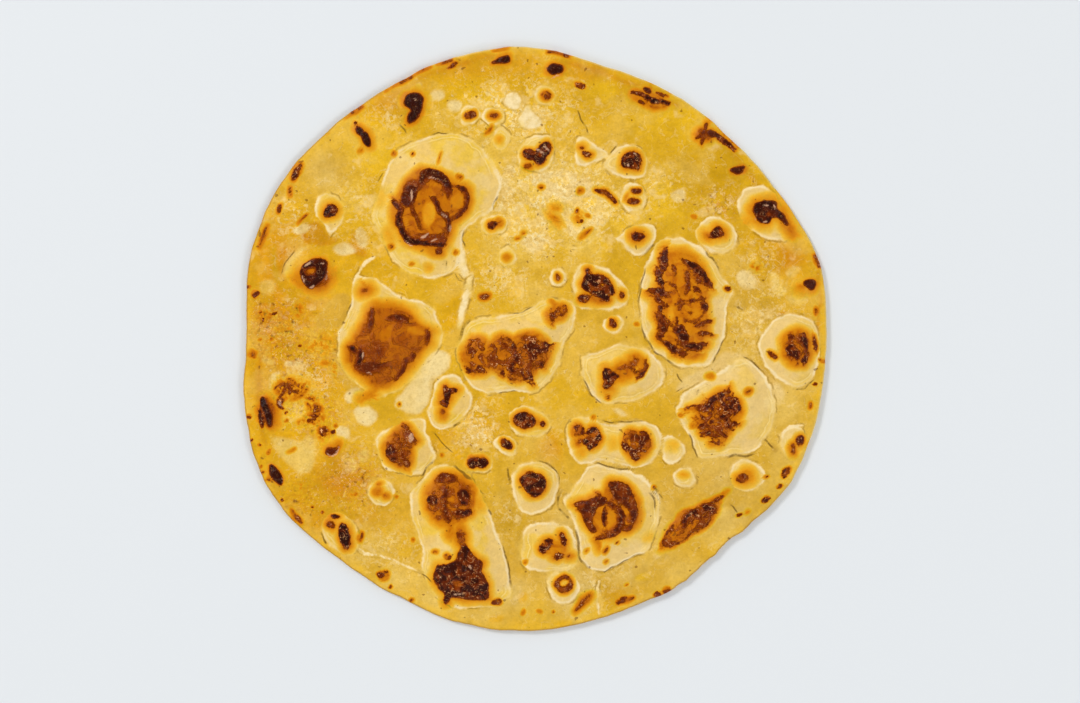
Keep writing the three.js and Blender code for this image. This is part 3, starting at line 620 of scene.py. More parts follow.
# Browned places straight on the sheet: x, y, half length, half width, turn, burn
spots = [
    (-65, 77.5, 0.6, 0.6, 0, 0.8), (-63.5, 67.5, 1.3, 0.9, 30, 0.4), (-84.5, 66.5, 0.7, 0.7, 0, 0.7),
    (16, 91.3, 1.8, 1.1, -20, 0.74), (-52, 32.7, 1.1, 0.9, 0, 0.66), (-28.7, 31.3, 0.8, 0.7, 0, 0.78),
    (-44.7, 26.5, 0.6, 0.5, 0, 0.6), (-39, 25.5, 1.5, 1.3, 20, 0.22), (-51, 66.5, 0.9, 0.7, 0, 0.6),
    (-44, 66.2, 0.7, 0.6, 0, 0.6), (-101.3, 16, 1.5, 1.1, 20, 0.74), (-103.8, 18.5, 0.8, 0.7, 0, 0.7),
    (-99.5, 9.3, 0.7, 0.6, 0, 0.72), (-98.5, 6.5, 0.6, 0.6, 0, 0.72), (-94, 8.7, 0.6, 0.5, 0, 0.7),
    (101.3, 10, 1.3, 0.7, 80, 0.6), (-18.5, 15.2, 1.9, 1.5, 20, 0.66), (-6.3, 36.3, 1.1, 0.7, 20, 0.4),
    (-4.5, 38.2, 0.9, 0.7, 0, 0.42), (1.8, 54.3, 1.1, 0.7, 0, 0.56), (16, 53, 1.1, 0.7, 10, 0.62),
    (15.3, 46, 1, 0.6, 80, 0.56), (15.8, 42.2, 0.9, 0.5, 0, 0.72), (18.7, 44.4, 0.7, 0.5, 0, 0.72),
    (36.5, 5.3, 0.8, 0.6, 0, 0.5), (62.8, -13.8, 1.4, 1.1, 0, 0.34), (52.8, -27.9, 0.7, 0.6, 0, 0.7),
    (57.3, 43.8, 0.9, 0.8, 0, 0.42), (25, -76.2, 1.3, 0.8, 60, 0.6), (25.4, -80.6, 0.8, 0.6, 40, 0.5),
    (18.4, -76.9, 0.7, 0.5, 60, 0.4), (76.4, -19.6, 1.6, 0.9, 25, 0.6), (56.8, -31.4, 1.1, 0.8, 80, 0.5),
    (26.2, -21.3, 1, 0.7, 80, 0.56), (-31.4, -78.4, 1.1, 1, 0, 0.74), (-36, -77.2, 1.3, 0.6, 10, 0.6),
    (-14, -95.3, 1.8, 0.7, 5, 0.74), (69.2, 17.8, 0.9, 0.8, 0, 0.8), (-102.3, -5.8, 1.6, 1.3, 30, 0.5),
    (-100, -0.5, 0.7, 0.6, 0, 0.66), (-95, -0.3, 0.6, 0.6, 0, 0.6), (-85.5, -2.7, 0.7, 0.6, 0, 0.6),
    (-86, -19.3, 0.9, 0.6, 20, 0.78), (-90, -27, 0.5, 0.4, 0, 0.76), (-89.8, -29.6, 0.6, 0.4, 40, 0.74),
    (-103.8, -28.3, 0.7, 0.6, 0, 0.7), (-103.4, -37, 0.7, 0.6, 0, 0.7), (-96.8, -41, 1.1, 0.6, 60, 0.72),
    (-100, -39, 0.7, 0.5, 0, 0.6), (-99.8, -46.5, 0.7, 0.6, 0, 0.7), (-98.5, -48.5, 0.7, 0.5, 0, 0.6),
    (-96, -51, 1.3, 0.9, 0, 0.5), (-78.7, -27.5, 1.2, 0.9, 20, 0.82), (-81.2, -29.8, 1.6, 0.6, 20, 0.8),
    (-76.5, -33.8, 1.7, 1, 80, 0.84), (-73.5, -33.8, 0.9, 0.5, 20, 0.78), (-72.3, -31.5, 0.5, 0.4, 0, 0.76),
    (-34, -42.5, 0.6, 0.5, 0, 0.6), (-49.5, -24, 0.6, 0.6, 0, 0.6), (21.2, -28.5, 0.6, 0.6, 0, 0.6),
    (43, -54, 0.7, 0.6, 0, 0.66), (29.3, -73.7, 0.8, 0.5, -10, 0.6), (103.3, -8, 0.7, 0.6, 0, 0.7),
    (101.2, -17, 0.7, 0.6, 0, 0.7), (99.5, -24.5, 1.5, 0.8, 80, 0.42), (90.7, -48.5, 2.3, 1.1, 65, 0.9),
    (88.3, -53.8, 0.9, 0.6, 20, 0.7), (83.5, -50, 0.6, 0.6, 0, 0.6), (69, -54.5, 1, 0.8, 0, 0.36),
    (-92, -58.5, 0.6, 0.6, 0, 0.7), (-65.3, -56.3, 0.6, 0.6, 0, 0.6), (-80.5, -61, 0.6, 0.6, 0, 0.6),
    (-77, -63, 0.6, 0.6, 0, 0.6), (-63, -71.5, 1.8, 0.8, 80, 0.5), (-55.2, -85.6, 2, 1.5, 0, 0.74),
    (-50.5, -57.5, 0.6, 0.6, 0, 0.6), (-44.3, -73, 0.6, 0.6, 0, 0.6), (-52.5, -90, 0.6, 0.6, 0, 0.7),
    (-44.5, -94.5, 0.6, 0.6, 0, 0.6), (-4.3, -99.3, 1.1, 0.5, 60, 0.5), (-4, -80.5, 0.6, 0.6, 0, 0.6),
    (33, -89.3, 0.6, 0.3, 10, 0.6), (44, -92.6, 1.1, 1, 0, 0.7), (47.3, -91, 1.4, 0.8, 30, 0.8),
    (1.6, -98.6, 1, 0.6, -50, 0.46), (6.4, -98.7, 0.4, 0.4, 0, 0.6), (73.4, -64, 0.6, 0.6, 0, 0.7),
    (83.3, -58.2, 1.7, 0.8, 35, 0.86), (76.5, -63, 1.4, 0.9, 40, 0.36),
]

# Dashes and thin brown lines straight on the sheet: width, burn, then the points
dashes = [
    (2.2, 0.86, (-85, 62.5), (-88, 57.5)), (1.1, 0.62, (-80, 71.5), (-75, 75)),
    (1.1, 0.6, (-69, 79), (-62, 83.5)), (1.1, 0.66, (-55, 89), (-46, 94), (-38, 98)),
    (1.1, 0.6, (-36, 99), (-30, 100)), (1.3, 0.8, (-31.3, 97.8), (-28.7, 99.5)),
    (1.1, 0.6, (-15, 104.3), (-10, 105.2)), (1.1, 0.66, (4, 103.5), (6.5, 103.2), (13, 101.3)),
    (1.1, 0.72, (44, 89), (48, 87.5)),
    (1.8, 0.97, (34.8, 88.5), (37, 88.2), (40, 87), (43, 85.8), (46.5, 85.2), (48, 84.8)),
    (1.4, 0.46, (-16, 76.3), (-18.3, 73.5)), (2.2, 0.88, (65, 74), (68.6, 71.2), (71.5, 68.5)),
    (1.3, 0.6, (-88.9, 55), (-88.8, 51)), (1.3, 0.78, (-93, 45.5), (-92.2, 48.3)),
    (1.8, 0.62, (-97, 40.5), (-98.5, 36), (-99.5, 33)), (1.3, 0.6, (100.5, 30), (102.3, 26)),
    (0.9, 0.5, (-86, 41), (-82.5, 45)), (0.7, 0.4, (-34, 67), (-35, 63)),
    (1.7, 0.8, (22, 53.7), (25.5, 52.5), (28.5, 49.3)), (1.2, 0.46, (16.3, 36), (20, 39.2)),
    (1.5, 0.93, (-99.5, -26), (-99, -29), (-99.2, -32.5)), (1.4, 0.76, (84.5, -5.3), (86.8, -7.3)),
    (2.2, 0.6, (-88, -62), (-86.4, -64.6), (-85, -67)), (2.4, 0.66, (14.5, -98.5), (17, -95.6), (20, -93)),
    (1.8, 0.74, (29.5, -95.3), (35, -93.6)), (2.4, 0.36, (-63, -22.5), (-57, -20.5)),
    (0.6, 0.4, (-30, -104), (-20, -105.2), (-8, -105.4)),
    (0.9, 0.8, (-92.6, -22.4), (-92.8, -24), (-91.2, -25.4)), (1.0, 0.42, (-89, -41), (-87, -39.8)),
    (1.6, 0.62, (-94, -18.4), (-91.4, -16.4), (-87, -17.4)),
    (1.3, 0.56, (-91, -20.4), (-88, -19), (-84.6, -20.6)),
    (1.4, 0.6, (-92.8, -23), (-91, -19.6), (-89.4, -16)),
    (1.2, 0.5, (-87.4, -22.4), (-85, -21), (-82.6, -18.4)),
    (1.2, 0.54, (-89.6, -14.4), (-87.4, -15.6), (-85.4, -17.6)), (1.2, 0.5, (-82.6, -23.4), (-80.6, -25.6)),
]

# Cracks and tucked seams in the sheet, darkened partly in their own colour and partly with painted crease
# shade: width, then the points
cracks = [
    (0.6, (-13.5, 51), (-15.2, 48), (-15, 46)), (0.6, (-25.3, 39), (-26.7, 35.5), (-25.2, 32.5)),
    (0.6, (-38, 73.5), (-35, 74.5), (-31, 74)), (0.5, (-29, 23.5), (-27, 21), (-25.5, 20.5)),
    (0.5, (-49.5, 77), (-46, 73.5)), (0.5, (-32, 25.5), (-31.5, 28)), (0.5, (-57.4, 56), (-55, 60)),
    (0.6, (-70.8, 4), (-68.5, 9), (-66.5, 13)), (0.8, (39.3, 30.3), (41.5, 32.5), (43.8, 34.2)),
    (0.5, (37.6, 12), (38.4, 21), (40, 26)), (0.6, (61, 31.5), (64.5, 29.5), (67, 24)),
    (0.6, (38.4, 6), (40, -1), (43, -5), (47, -8.5), (50.5, -10.5)),
    (0.6, (68.3, 0), (66.4, -4), (64.2, -9)), (0.6, (75, -7), (79.4, -9), (82.5, -12)),
    (0.5, (93, -18.6), (97, -18.4), (101, -15)), (0.8, (68, -43.7), (72, -42.2), (76, -42.6), (80, -41.5)),
    (0.6, (55, -34), (57, -40), (59, -44)), (0.7, (83, -36.4), (85, -38.6), (86.4, -40)),
    (0.6, (20.5, -44.8), (25, -46), (31, -47.5), (35, -48)), (0.6, (40.8, -55), (43, -57.6), (43.7, -62)),
    (0.9, (43, -53.8), (44.2, -55.6)), (0.5, (44.4, -56), (46, -58.6)),
    (0.8, (14, -68), (15, -74), (15.5, -78.5), (17, -81), (20, -84)),
    (0.8, (10.5, -55), (9, -58), (8, -61.3)), (0.8, (8, -61.3), (9.5, -63), (12, -65.5)),
    (0.5, (20, -84), (22.5, -85), (25, -84.7), (28, -83), (32, -80.5), (36, -78.3), (40, -77)),
    (0.6, (0, -44.3), (3, -45), (6, -47), (8, -50), (9, -54)),
    (0.6, (24, -29), (28, -31), (32, -30.5), (40, -30.3)), (0.5, (17, -14), (20, -20.4), (25, -24)),
    (0.7, (-37, -44), (-39.5, -46.5), (-42, -49.5)),
    (0.8, (-30, -45.5), (-26, -48), (-24.5, -50.5), (-22.5, -52)), (0.9, (-30, -32), (-27.5, -30)),
    (0.6, (-10.2, -46), (-9.6, -53)),
    (0.8, (-12.3, -74), (-11, -78.4), (-9.7, -82), (-9.2, -87), (-8.5, -90)),
    (0.7, (-17.7, -61.5), (-16.5, -64)), (0.6, (-42, -85), (-39, -86.2), (-37, -88)),
    (0.6, (-77.5, -70), (-76.5, -73), (-75, -75.2)), (0.6, (70, -60), (73, -63.5)),
    (0.9, (-23.3, 7.4), (-25.6, 4.6), (-27, 1.8), (-28, -0.9)), (0.6, (73, 11.5), (75.5, 9.5)),
    (0.6, (15, 82.5), (16.5, 79.5), (18, 76.5), (19.3, 73)), (0.6, (27, 66.5), (30, 69.5)),
    (0.5, (-10, 9.2), (-5, 9.2), (-1, 11.8)), (0.5, (-14, -19.6), (-6, -19.2)),
    (0.5, (50.6, -20), (54, -17.6)), (0.6, (58.4, -20.4), (59.2, -18.4)),
    (0.5, (-91.5, 22.5), (-90, 27), (-88, 30), (-86.5, 32)),
    (0.6, (50.4, -12.6), (51.6, -14.2), (53, -15.8)), (0.5, (-37.6, -34), (-34, -38), (-29, -42)),
]

# Pale raised lines: width, then the points
ridges = [
    (1.0, (9, 33.5), (12, 33), (15, 32.8), (17.5, 33.3), (19.5, 34.5), (21, 36.2), (22.5, 37.5),
        (26.5, 39.5)), (1.2, (-71, -5), (-70, -10), (-67, -14), (-63, -17), (-58, -20)),
    (1.4, (-18.5, 68), (-14.5, 60), (-11.5, 55)), (1.2, (-48.6, 36.4), (-45, 33.8)),
    (1.2, (88.4, -35.4), (92, -32), (97, -31.6)), (1.2, (-65.5, 22), (-62, 27), (-58, 30)),
    (1.2, (-70, -72), (-62, -78), (-52, -80), (-42, -84)), (1.3, (22.6, -88), (22.2, -94), (22.8, -100)),
]

# Small wet glints painted on the char as highlights: width, then the points
paintedGlints = [
    (0.5, (0.3, 68), (3, 66)), (0.5, (2.5, 69), (4.5, 67.3)), (0.9, (-43.8, 86.3), (-43.2, 86.3)),
    (0.9, (-34, -85.8), (-33.5, -85.8)), (0.5, (-30, -92), (-26, -91.8)),
    (0.5, (-23.8, -81.8), (-22.8, -83)), (0.6, (-83.8, 22), (-83, 19.5)), (0.6, (-82.5, 26), (-81, 27.2)),
    (1.1, (-77, 26.9), (-76.6, 26.6)), (0.5, (-81.3, 18.3), (-79.8, 18.8)),
    (0.5, (-75.6, 21.4), (-75, 23.4)), (0.8, (85.7, 47.9), (86.2, 46.4)), (0.5, (81.6, 47.9), (83.2, 47.7)),
    (0.5, (82, 41.7), (83, 41.7)), (0.5, (79, 43.4), (79.4, 42.8)), (1.7, (-44.3, -34.8), (-44.8, -37.2)),
    (0.8, (33.3, 61.9), (33.9, 61.7)), (0.5, (35.2, 66.3), (35.9, 66)), (0.5, (-92, -50.8), (-91.6, -52.2)),
    (0.6, (-75.6, -41.2), (-74, -42.2), (-72, -41.4), (-71.3, -39.4)), (0.4, (5.5, 94), (9.5, 94.8)),
    (0.7, (-91.8, -22.4), (-92.4, -23.4), (-91.6, -24.4)), (0.45, (-61.8, -5), (-62.2, -7.4)),
    (0.4, (-60.6, -12.6), (-59, -13.4)), (0.6, (-38.8, 57.4), (-35.4, 57)),
    (0.6, (-44.3, 52.8), (-44.6, 49.2)), (0.6, (-47.2, 35.4), (-44.2, 33.2)),
    (0.6, (-33.4, 45.2), (-31.4, 43)), (0.6, (-40.8, 35.8), (-38.8, 38)), (0.5, (-30.4, 41), (-31, 38.6)),
    (0.5, (-37.6, 34.6), (-35.4, 36)),
]

# Broad tones painted on the sheet, one over the other: x, y, reach along x, reach along y, amount
tones = {
    "beige": [(85, -5, 20, 34, 0.9), (60, -52, 24, 24, 0.9), (10, -72, 34, 28, 0.9), (-4, -40, 16, 12, 0.4),
        (12, -90, 14, 10, 0.9), (-45, -62, 20, 26, 0.6), (76, 14, 14, 14, 0.8), (-20, 66, 14, 26, 0.4),
        (25, 5, 20, 15, 0.35)],
    "olive": [(66, 60, 20, 18, 1.2), (-9, -66, 8, 11, 0.8), (90, -34, 8, 12, 0.6), (36, 70, 9, 8, 0.5),
        (27, -90.6, 8, 6, 1.0), (-18, -28, 8, 9, 0.5), (38, 90, 26, 9, 1.1), (-40, 92, 28, 10, 1.2),
        (35, 31, 14, 8, 0.8), (70, -64, 16, 9, 0.4), (42, -89, 18, 6, 0.5), (82, 31, 12, 8, 0.9),
        (66, 48, 7, 6, 0.8), (55, 75, 20, 12, 0.5)],
    "golden": [(5, -40, 5, 6, 1.0), (-30, 7, 5, 10, 0.9), (-56, 30, 16, 12, 0.6), (-22, -30, 16, 9, 0.55),
        (-48, -70, 8, 16, 0.5), (86, 38, 14, 12, 0.6), (-90, -20, 22, 34, 1.3), (-93, 20, 15, 28, 1.2),
        (-82, 40, 12, 12, 0.8), (-90, -52, 12, 14, 0.7), (-72, -8, 8, 10, 0.5), (-66, 32, 8, 12, 0.7),
        (96, 22, 9, 16, 0.7), (88, 46, 9, 10, 0.6), (-29, 13, 5, 10, 0.7), (-25, 92, 30, 9, 0.5),
        (-60, 72, 14, 12, 0.4), (8, 97, 14, 7, 0.5), (-68, -50, 10, 10, 0.5)],
    "ember": [(5, -40, 4, 5, 0.8), (-90, 30, 7, 6, 0.9), (-94, 6, 10, 10, 1.0), (-62, -64, 8, 7, 0.4),
        (-50, 88, 14, 7, 0.8), (-94, 25, 10, 22, 0.65), (-74, -10, 10, 11, 0.35), (90, 36, 9, 9, 0.4),
        (-30, 99, 36, 6, 0.6), (30, 97, 28, 6, 0.5), (-92, -20, 12, 26, 0.4), (-98, 10, 7, 14, 0.5),
        (-78, -66, 9, 8, 0.5), (-62, -62, 9, 8, 0.3), (-70, -51, 10, 8, 0.9), (-88, -4, 8, 6, 0.4),
        (91, 29, 6.4, 5.4, 1.0), (-81, 13, 8, 3, 0.7), (-86, -62, 8, 8, 0.4), (30, -95, 7, 4, 0.5),
        (-76, -53, 7, 4, 0.6), (-90, -24, 7, 7, 0.5), (-34, -38, 6, 5, 0.4)],
    "sunny": [(-60, 68, 14, 10, 0.6), (-24, 86, 20, 8, 0.6), (20, 42, 22, 12, 0.5), (48, 78, 18, 10, 0.4),
        (46, 50, 8, 8, 0.6), (-86, -27, 9, 7, 1.0), (84, 54, 8, 4, 0.6), (14, -98, 24, 5, 0.4),
        (-64, 48, 8, 10, 0.4), (-16, 62, 4, 9, 0.6)],
    "pale": [(74, -6, 8, 6, 0.6), (88, -22, 7, 6, 0.6), (34, -83, 12, 5, 0.5), (12, -92, 8, 8, 0.6),
        (52, -84, 12, 7, 0.6), (88, -42, 7, 12, 0.5), (72, -70, 12, 8, 0.5), (36, -50, 5, 5, 0.4),
        (-62, -78, 9, 7, 0.7), (-50, -87, 10, 7, 0.8), (-36, -95, 10, 5, 0.8), (-20, -100, 10, 4, 0.8),
        (-14.6, -80, 4, 8, 0.7), (92, -27, 6, 7, 0.7), (50, -80, 10, 5, 0.6), (63, -72, 9, 4, 0.5),
        (46, -70, 5, 7, 0.5), (70, -50, 6, 5, 0.5), (6, 52, 24, 20, 0.65), (-3, 33, 10, 8, 0.7),
        (0, 18, 8, 6, 0.5)],
    "ashen": [(12, -91, 8, 9, 0.9), (34, -84, 10, 5, 0.5), (-75, 60, 9, 9, 0.6), (72, -64, 10, 6, 0.4),
        (60, -12, 14, 8, 0.7), (72, -50, 9, 9, 0.6), (12, -68, 8, 8, 0.5), (-8, -92, 8, 8, 0.6),
        (44, -70, 6, 10, 0.5)],
}

# Bands of tone: tone, amount, width, softness, then the points
bands = [
    ("ember", 0.9, 2.0, 2.4, (-100, -4), (-99.8, -18), (-99.4, -30), (-97.4, -38)),
    ("ember", 0.8, 1.4, 1.6, (102.6, 24), (102.8, 12), (102, 2)),
    ("ember", 0.7, 1.6, 2.0, (-58, 87), (-46, 93), (-30, 98.6), (-12, 103)),
    ("ember", 0.7, 1.6, 2.0, (6, 101.4), (24, 96.4), (40, 91), (52, 84)),
    ("ember", 0.5, 1.6, 2.0, (66, 73), (80, 56), (92, 41)),
    ("olive", 0.9, 2.6, 2.4, (-95, 33), (-94.4, 26), (-92.6, 20), (-88, 14.6)),
    ("sunny", 0.8, 2.4, 2.4, (-18.5, 66), (-16, 61), (-14, 57)),
    ("golden", 0.8, 4.0, 3.0, (-39, -30), (-37, -35), (-33, -39), (-28, -43), (-25, -45)),
    ("ember", 0.6, 1.6, 2.0, (-97, 41), (-98.6, 36), (-99.8, 30)),
]

# Places with an outline of their own: tone, amount, softness, then an oval or corners
patches = [
    ("golden", 0.9, 2.0, [(-91, 22), (-88.6, 27), (-84, 31), (-79, 32.6), (-73, 30), (-70.4, 24),
        (-72.6, 17.4), (-77, 13.6), (-84, 14.6)]),
    ("ember", 1.0, 0.9, [(-84, 41), (-80.4, 42.6), (-77, 40), (-74.6, 37), (-70, 36.4), (-74, 34),
        (-80, 34), (-84.6, 36)]),
    ("ember", 0.7, 1.6, [(-67, 39), (-63.6, 38), (-62.4, 32), (-61, 28.6), (-65, 28.4), (-67, 33)]),
    ("tan", 0.9, 1.0, [(-79.4, 3), (-80, 8), (-76, 11), (-72, 17), (-68, 16.6), (-67, 13), (-70, 6),
        (-72, 2.6)]),
    ("tan", 0.9, 1.0, [(-72.4, -3), (-70.4, -10), (-66, -15.4), (-60, -20), (-64, -20.6), (-69, -18),
        (-71.6, -15), (-72.6, -8)]),
    ("pale", 0.9, 1.4, [(-96, -36), (-92, -35.6), (-88, -36.4), (-85, -38), (-82, -35), (-80, -37),
        (-79.6, -42), (-80, -47), (-83, -50), (-87, -48), (-91, -44.6), (-94, -41)]),
    ("sunny", 0.8, 1.6, [(-76, -36), (-70, -35.6), (-69, -38), (-72, -38.6), (-75.4, -38.4)]),
    ("pale", 0.8, 1.2, [(-69, -44), (-65, -43.4), (-64, -46), (-66, -49), (-69, -48)]),
    ("pale", 0.9, 1.2, [(-64.6, -42), (-62, -40), (-60, -41), (-60.6, -44.6), (-63, -45)]),
    ("pale", 0.7, 1.4, (-97, -8.6, 2.6, 1.2, -20)),
    ("pale", 0.7, 1.6, (-96.6, 18, 3, 2.4, 30)),
    ("pale", 0.8, 1.0, [(84, 24.6), (87, 23.6), (88, 20), (90, 17.6), (89.4, 15), (86, 16), (84.4, 20)]),
    ("pale", 0.7, 1.6, (94, 14, 3.4, 2, -10)),
    ("pale", 0.6, 1.6, (93, 24, 3, 1.6, 20)),
    ("ember", 0.7, 1.2, [(86, 8.6), (89, 10.2), (90.6, 9.6), (88, 8.4)]),
    ("speck", 0.8, 0.6, [(48.8, 52), (49.4, 53.4), (51, 54), (52.6, 53.2), (53, 52)]),
    ("hairline", 0.6, 1.2, [(84.6, -37.4), (86.6, -38.4), (88.4, -41), (87, -42), (85.6, -40)]),
    ("sunny", 0.7, 1.2, (38.4, -86.2, 3, 1.4, 20)),
    ("cream", 0.8, 1.8, [(50, -20), (52.2, -15), (57, -12.6), (63, -10), (68.2, -4.6), (72.5, -6.2),
        (78, -6), (74, -9), (66, -13), (58, -17.5)]),
    ("cream", 0.7, 1.8, [(81, -9), (84, -12), (88, -16), (90, -20), (88, -25), (85.4, -19)]),
    ("pale", 0.9, 2.2, [(-91, 23), (-89.6, 28), (-86, 32), (-81, 34.6), (-82.4, 32.6), (-85, 30),
        (-87.4, 26.6), (-89, 22.6)]),
    ("pale", 0.9, 1.4, [(57, -71), (62.4, -66.8), (66, -61.4), (70, -60.6), (68.4, -64.4), (62.6, -70),
        (58, -72.6)]),
    ("cream", 0.8, 3.0, [(-4, 57), (4, 61), (14, 60.4), (21, 57), (19, 51), (12, 49), (4, 51)]),
    ("cream", 0.7, 2.4, [(-13, 58), (-9, 64), (-7, 60), (-8, 54), (-12, 48), (-14, 52)]),
    ("cream", 0.7, 2.4, [(8, 41), (13, 42.4), (18, 42), (23, 45), (26, 42), (21, 38.6), (13, 36)]),
    ("cream", 0.7, 2.0, [(-6, 35), (0, 37.6), (4, 35), (1, 31), (-4, 30.6)]),
    ("golden", 0.7, 1.4, (10, -103, 3, 1.2, 0)),
    ("sunny", 0.5, 5.0, (24, 90, 6, 4, 20)),
    ("golden", 0.7, 1.2, (-14, -101.8, 3, 1.4, 10)),
    ("golden", 0.8, 1.2, [(-7, -92), (-4, -91), (-2.4, -93), (-4, -95), (-6, -95)]),
]

# Where the sheet is flaky, crumbly or scorched, as zones in the form of the tones
textures = {
    "flaky": [(8, 50, 26, 14, 1.0), (0, 38, 14, 8, 0.8), (-8, 82, 18, 11, 0.9), (46, 55, 10, 7, 0.5),
        (-64, -48, 10, 11, 0.25), (-21, -33, 8, 10, 0.8), (-82, -18, 13, 14, 0.45), (-92, 4, 11, 9, 0.25),
        (20, -92, 7, 7, 0.5), (82, 8, 11, 14, 0.5), (80, 26, 9, 9, 0.4), (-64, 47, 10, 13, 0.4),
        (-10, -66, 6, 7, 0.4), (-88, 44, 9, 11, 0.4), (66, 48, 7, 6, 0.6), (-52, -76, 14, 8, 0.3),
        (-12, 22, 12, 8, 0.5), (-50, 80, 10, 6, 0.4)],
    "crumbly": [(-87, -20, 10, 11, 0.7), (-79, -28, 9, 8, 0.8), (-93, 6, 11, 9, 0.9), (-80, -6, 13, 9, 0.8),
        (-66, -52, 11, 11, 0.7), (-92, -2, 9, 9, 0.7), (-84, -58, 9, 8, 0.4), (-22, -34, 8, 7, 0.5),
        (66, 48, 7, 5, 0.7), (80, 26, 4, 4, 0.5)],
    "scorched": [(-90, -18.4, 4.4, 4, 0.95), (-86, -18.4, 4.8, 4, 0.8), (-92, -23, 2, 3, 0.9),
        (-81, -22, 3, 2, 0.75), (-79.4, -25.6, 3, 2.6, 0.9), (-79.6, -29, 3.6, 2.6, 1.0),
        (-76.6, -33.6, 2.4, 3.4, 1.0), (-84, -30.6, 3, 1.5, 0.65), (-97, 8, 5, 2.4, 0.65),
        (-91, 3.4, 3.6, 3, 0.5), (-78, -2.4, 8, 5, 0.44), (-85.6, 10, 2.4, 3.6, 0.6),
        (-72.6, -12, 1, 5, 0.6), (-76, -9, 3, 1.6, 0.5), (-59, -21.4, 4, 1.6, 0.6), (-74, -43, 3, 1.4, 0.5),
        (-102, -6.4, 1.6, 2, 0.7), (79.6, 25.6, 2.6, 2, 0.6), (60.6, 73, 4, 3, 0.8), (-66, -56, 3, 2, 0.45),
        (-85.6, -53.6, 2.4, 1.6, 0.6), (-57, -55, 2, 2.4, 0.6), (15.6, 43.6, 2.4, 2.6, 0.5)],
}


def smooth(value):
    share = np.clip(value, 0.0, 1.0)
    return share * share * (3.0 - 2.0 * share)


def unevenness(x, y, size, seed):    # soft seeded bumps from -1 to 1, about one in each size by size
    cells = 128
    lattice = np.random.default_rng(seed).random((cells, cells))
    column = np.floor(x / size).astype(int)
    row = np.floor(y / size).astype(int)
    across = smooth(x / size - column)
    along = smooth(y / size - row)
    left = column % cells
    right = (column + 1) % cells
    above = (row + 1) % cells
    low = lattice[row % cells, left] * (1 - across) + lattice[row % cells, right] * across
    high = lattice[above, left] * (1 - across) + lattice[above, right] * across
    return 2.0 * (low * (1 - along) + high * along) - 1.0


def roughness(x, y, size, seed):    # the same in three sizes, each finer one half as strong
    coarse = unevenness(x, y, size, seed)
    finer = 0.5 * unevenness(y, x, size * 0.47, seed + 1) + 0.25 * unevenness(x, -y, size * 0.23, seed + 2)
    return (coarse + finer) / 1.75


def strayed(x, y, reach, name):    # places pushed about by seeded unevenness
    shiftX = reach * roughness(x, y, *strays[name + "X"])
    shiftY = reach * roughness(x, y, *strays[name + "Y"])
    return x + shiftX, y + shiftY


def around(radius, bearing):
    turn = np.radians(bearing)
    return radius * np.cos(turn), radius * np.sin(turn)


def rimRadius(bearing):
    radii = np.array(sheet["rimRadii"])
    place = np.mod(bearing, 360.0) / 360.0 * len(radii)
    near = np.floor(place).astype(int) % len(radii)
    far = (near + 1) % len(radii)
    slopes = (np.roll(radii, -1) - np.roll(radii, 1)) / 2
    t = place - np.floor(place)
    rolled = (radii[near] * (1 + 2 * t) * (1 - t) ** 2 + slopes[near] * t * (1 - t) ** 2
              + radii[far] * t * t * (3 - 2 * t) + slopes[far] * t * t * (t - 1))
    edge = around(rolled, bearing)
    away = np.mod(bearing - sheet["scallopAt"] + 180.0, 360.0) - 180.0
    scallops = sheet["scallop"] * np.exp(-(away / sheet["scallopSpan"]) ** 2)
    scallops = scallops * unevenness(*edge, *strays["scallop"])
    return rolled + sheet["rimWander"] * roughness(*edge, *strays["rim"]) + scallops


def sheetHeight(x, y, toEdge):
    turn = math.radians(sheet["waveTurn"])
    along = x * math.cos(turn) + y * math.sin(turn)
    across = y * math.cos(turn) - x * math.sin(turn)
    pace = 2 * math.pi / sheet["waveLength"]
    waves = np.sin(pace * along) * np.sin(pace * across + sheet["waveShift"])
    middle = sheet["thick"] + sheet["waveHeight"] * waves
    return sheet["rimThick"] + (middle - sheet["rimThick"]) * smooth(toEdge / sheet["rimBand"])


def ovalDistance(x, y, oval):
    cx, cy, halfLength, halfWidth, turn = oval
    turn = math.radians(turn)
    u = (x - cx) * math.cos(turn) + (y - cy) * math.sin(turn)
    v = (y - cy) * math.cos(turn) - (x - cx) * math.sin(turn)
    tiny = 1e-6
    k = np.hypot(u / halfLength, v / halfWidth) + tiny
    s = np.hypot(u / halfLength ** 2, v / halfWidth ** 2) + tiny / halfWidth
    return k * (k - 1) / s


def cornersDistance(x, y, corners):
    points = np.array(corners, float)
    for cut in range(swelling["cornerCuts"]):
        onward = np.roll(points, -1, axis=0)
        pairs = np.stack([0.75 * points + 0.25 * onward, 0.25 * points + 0.75 * onward], 1)
        points = pairs.reshape(-1, 2)
    reach = swelling["reach"]
    left, low = points.min(0) - reach
    right, high = points.max(0) + reach
    near = (x > left) & (x < right) & (y > low) & (y < high)
    nx = x[near]
    ny = y[near]
    nearest = np.full(nx.shape, np.inf)
    inside = np.zeros(nx.shape, bool)
    for start, end in zip(points, np.roll(points, -1, axis=0)):
        run = end - start
        t = np.clip(((nx - start[0]) * run[0] + (ny - start[1]) * run[1]) / run.dot(run), 0, 1)
        nearest = np.minimum(nearest, np.hypot(nx - start[0] - run[0] * t, ny - start[1] - run[1] * t))
        if run[1] != 0:
            crosses = (start[1] > ny) != (end[1] > ny)
            inside ^= crosses & (nx < start[0] + (ny - start[1]) / run[1] * run[0])
    distance = np.full(x.shape, reach)
    distance[near] = np.where(inside, -nearest, nearest)
    return distance


def shapeDistance(x, y, shape):    # negative inside
    return cornersDistance(x, y, shape) if isinstance(shape, list) else ovalDistance(x, y, shape)


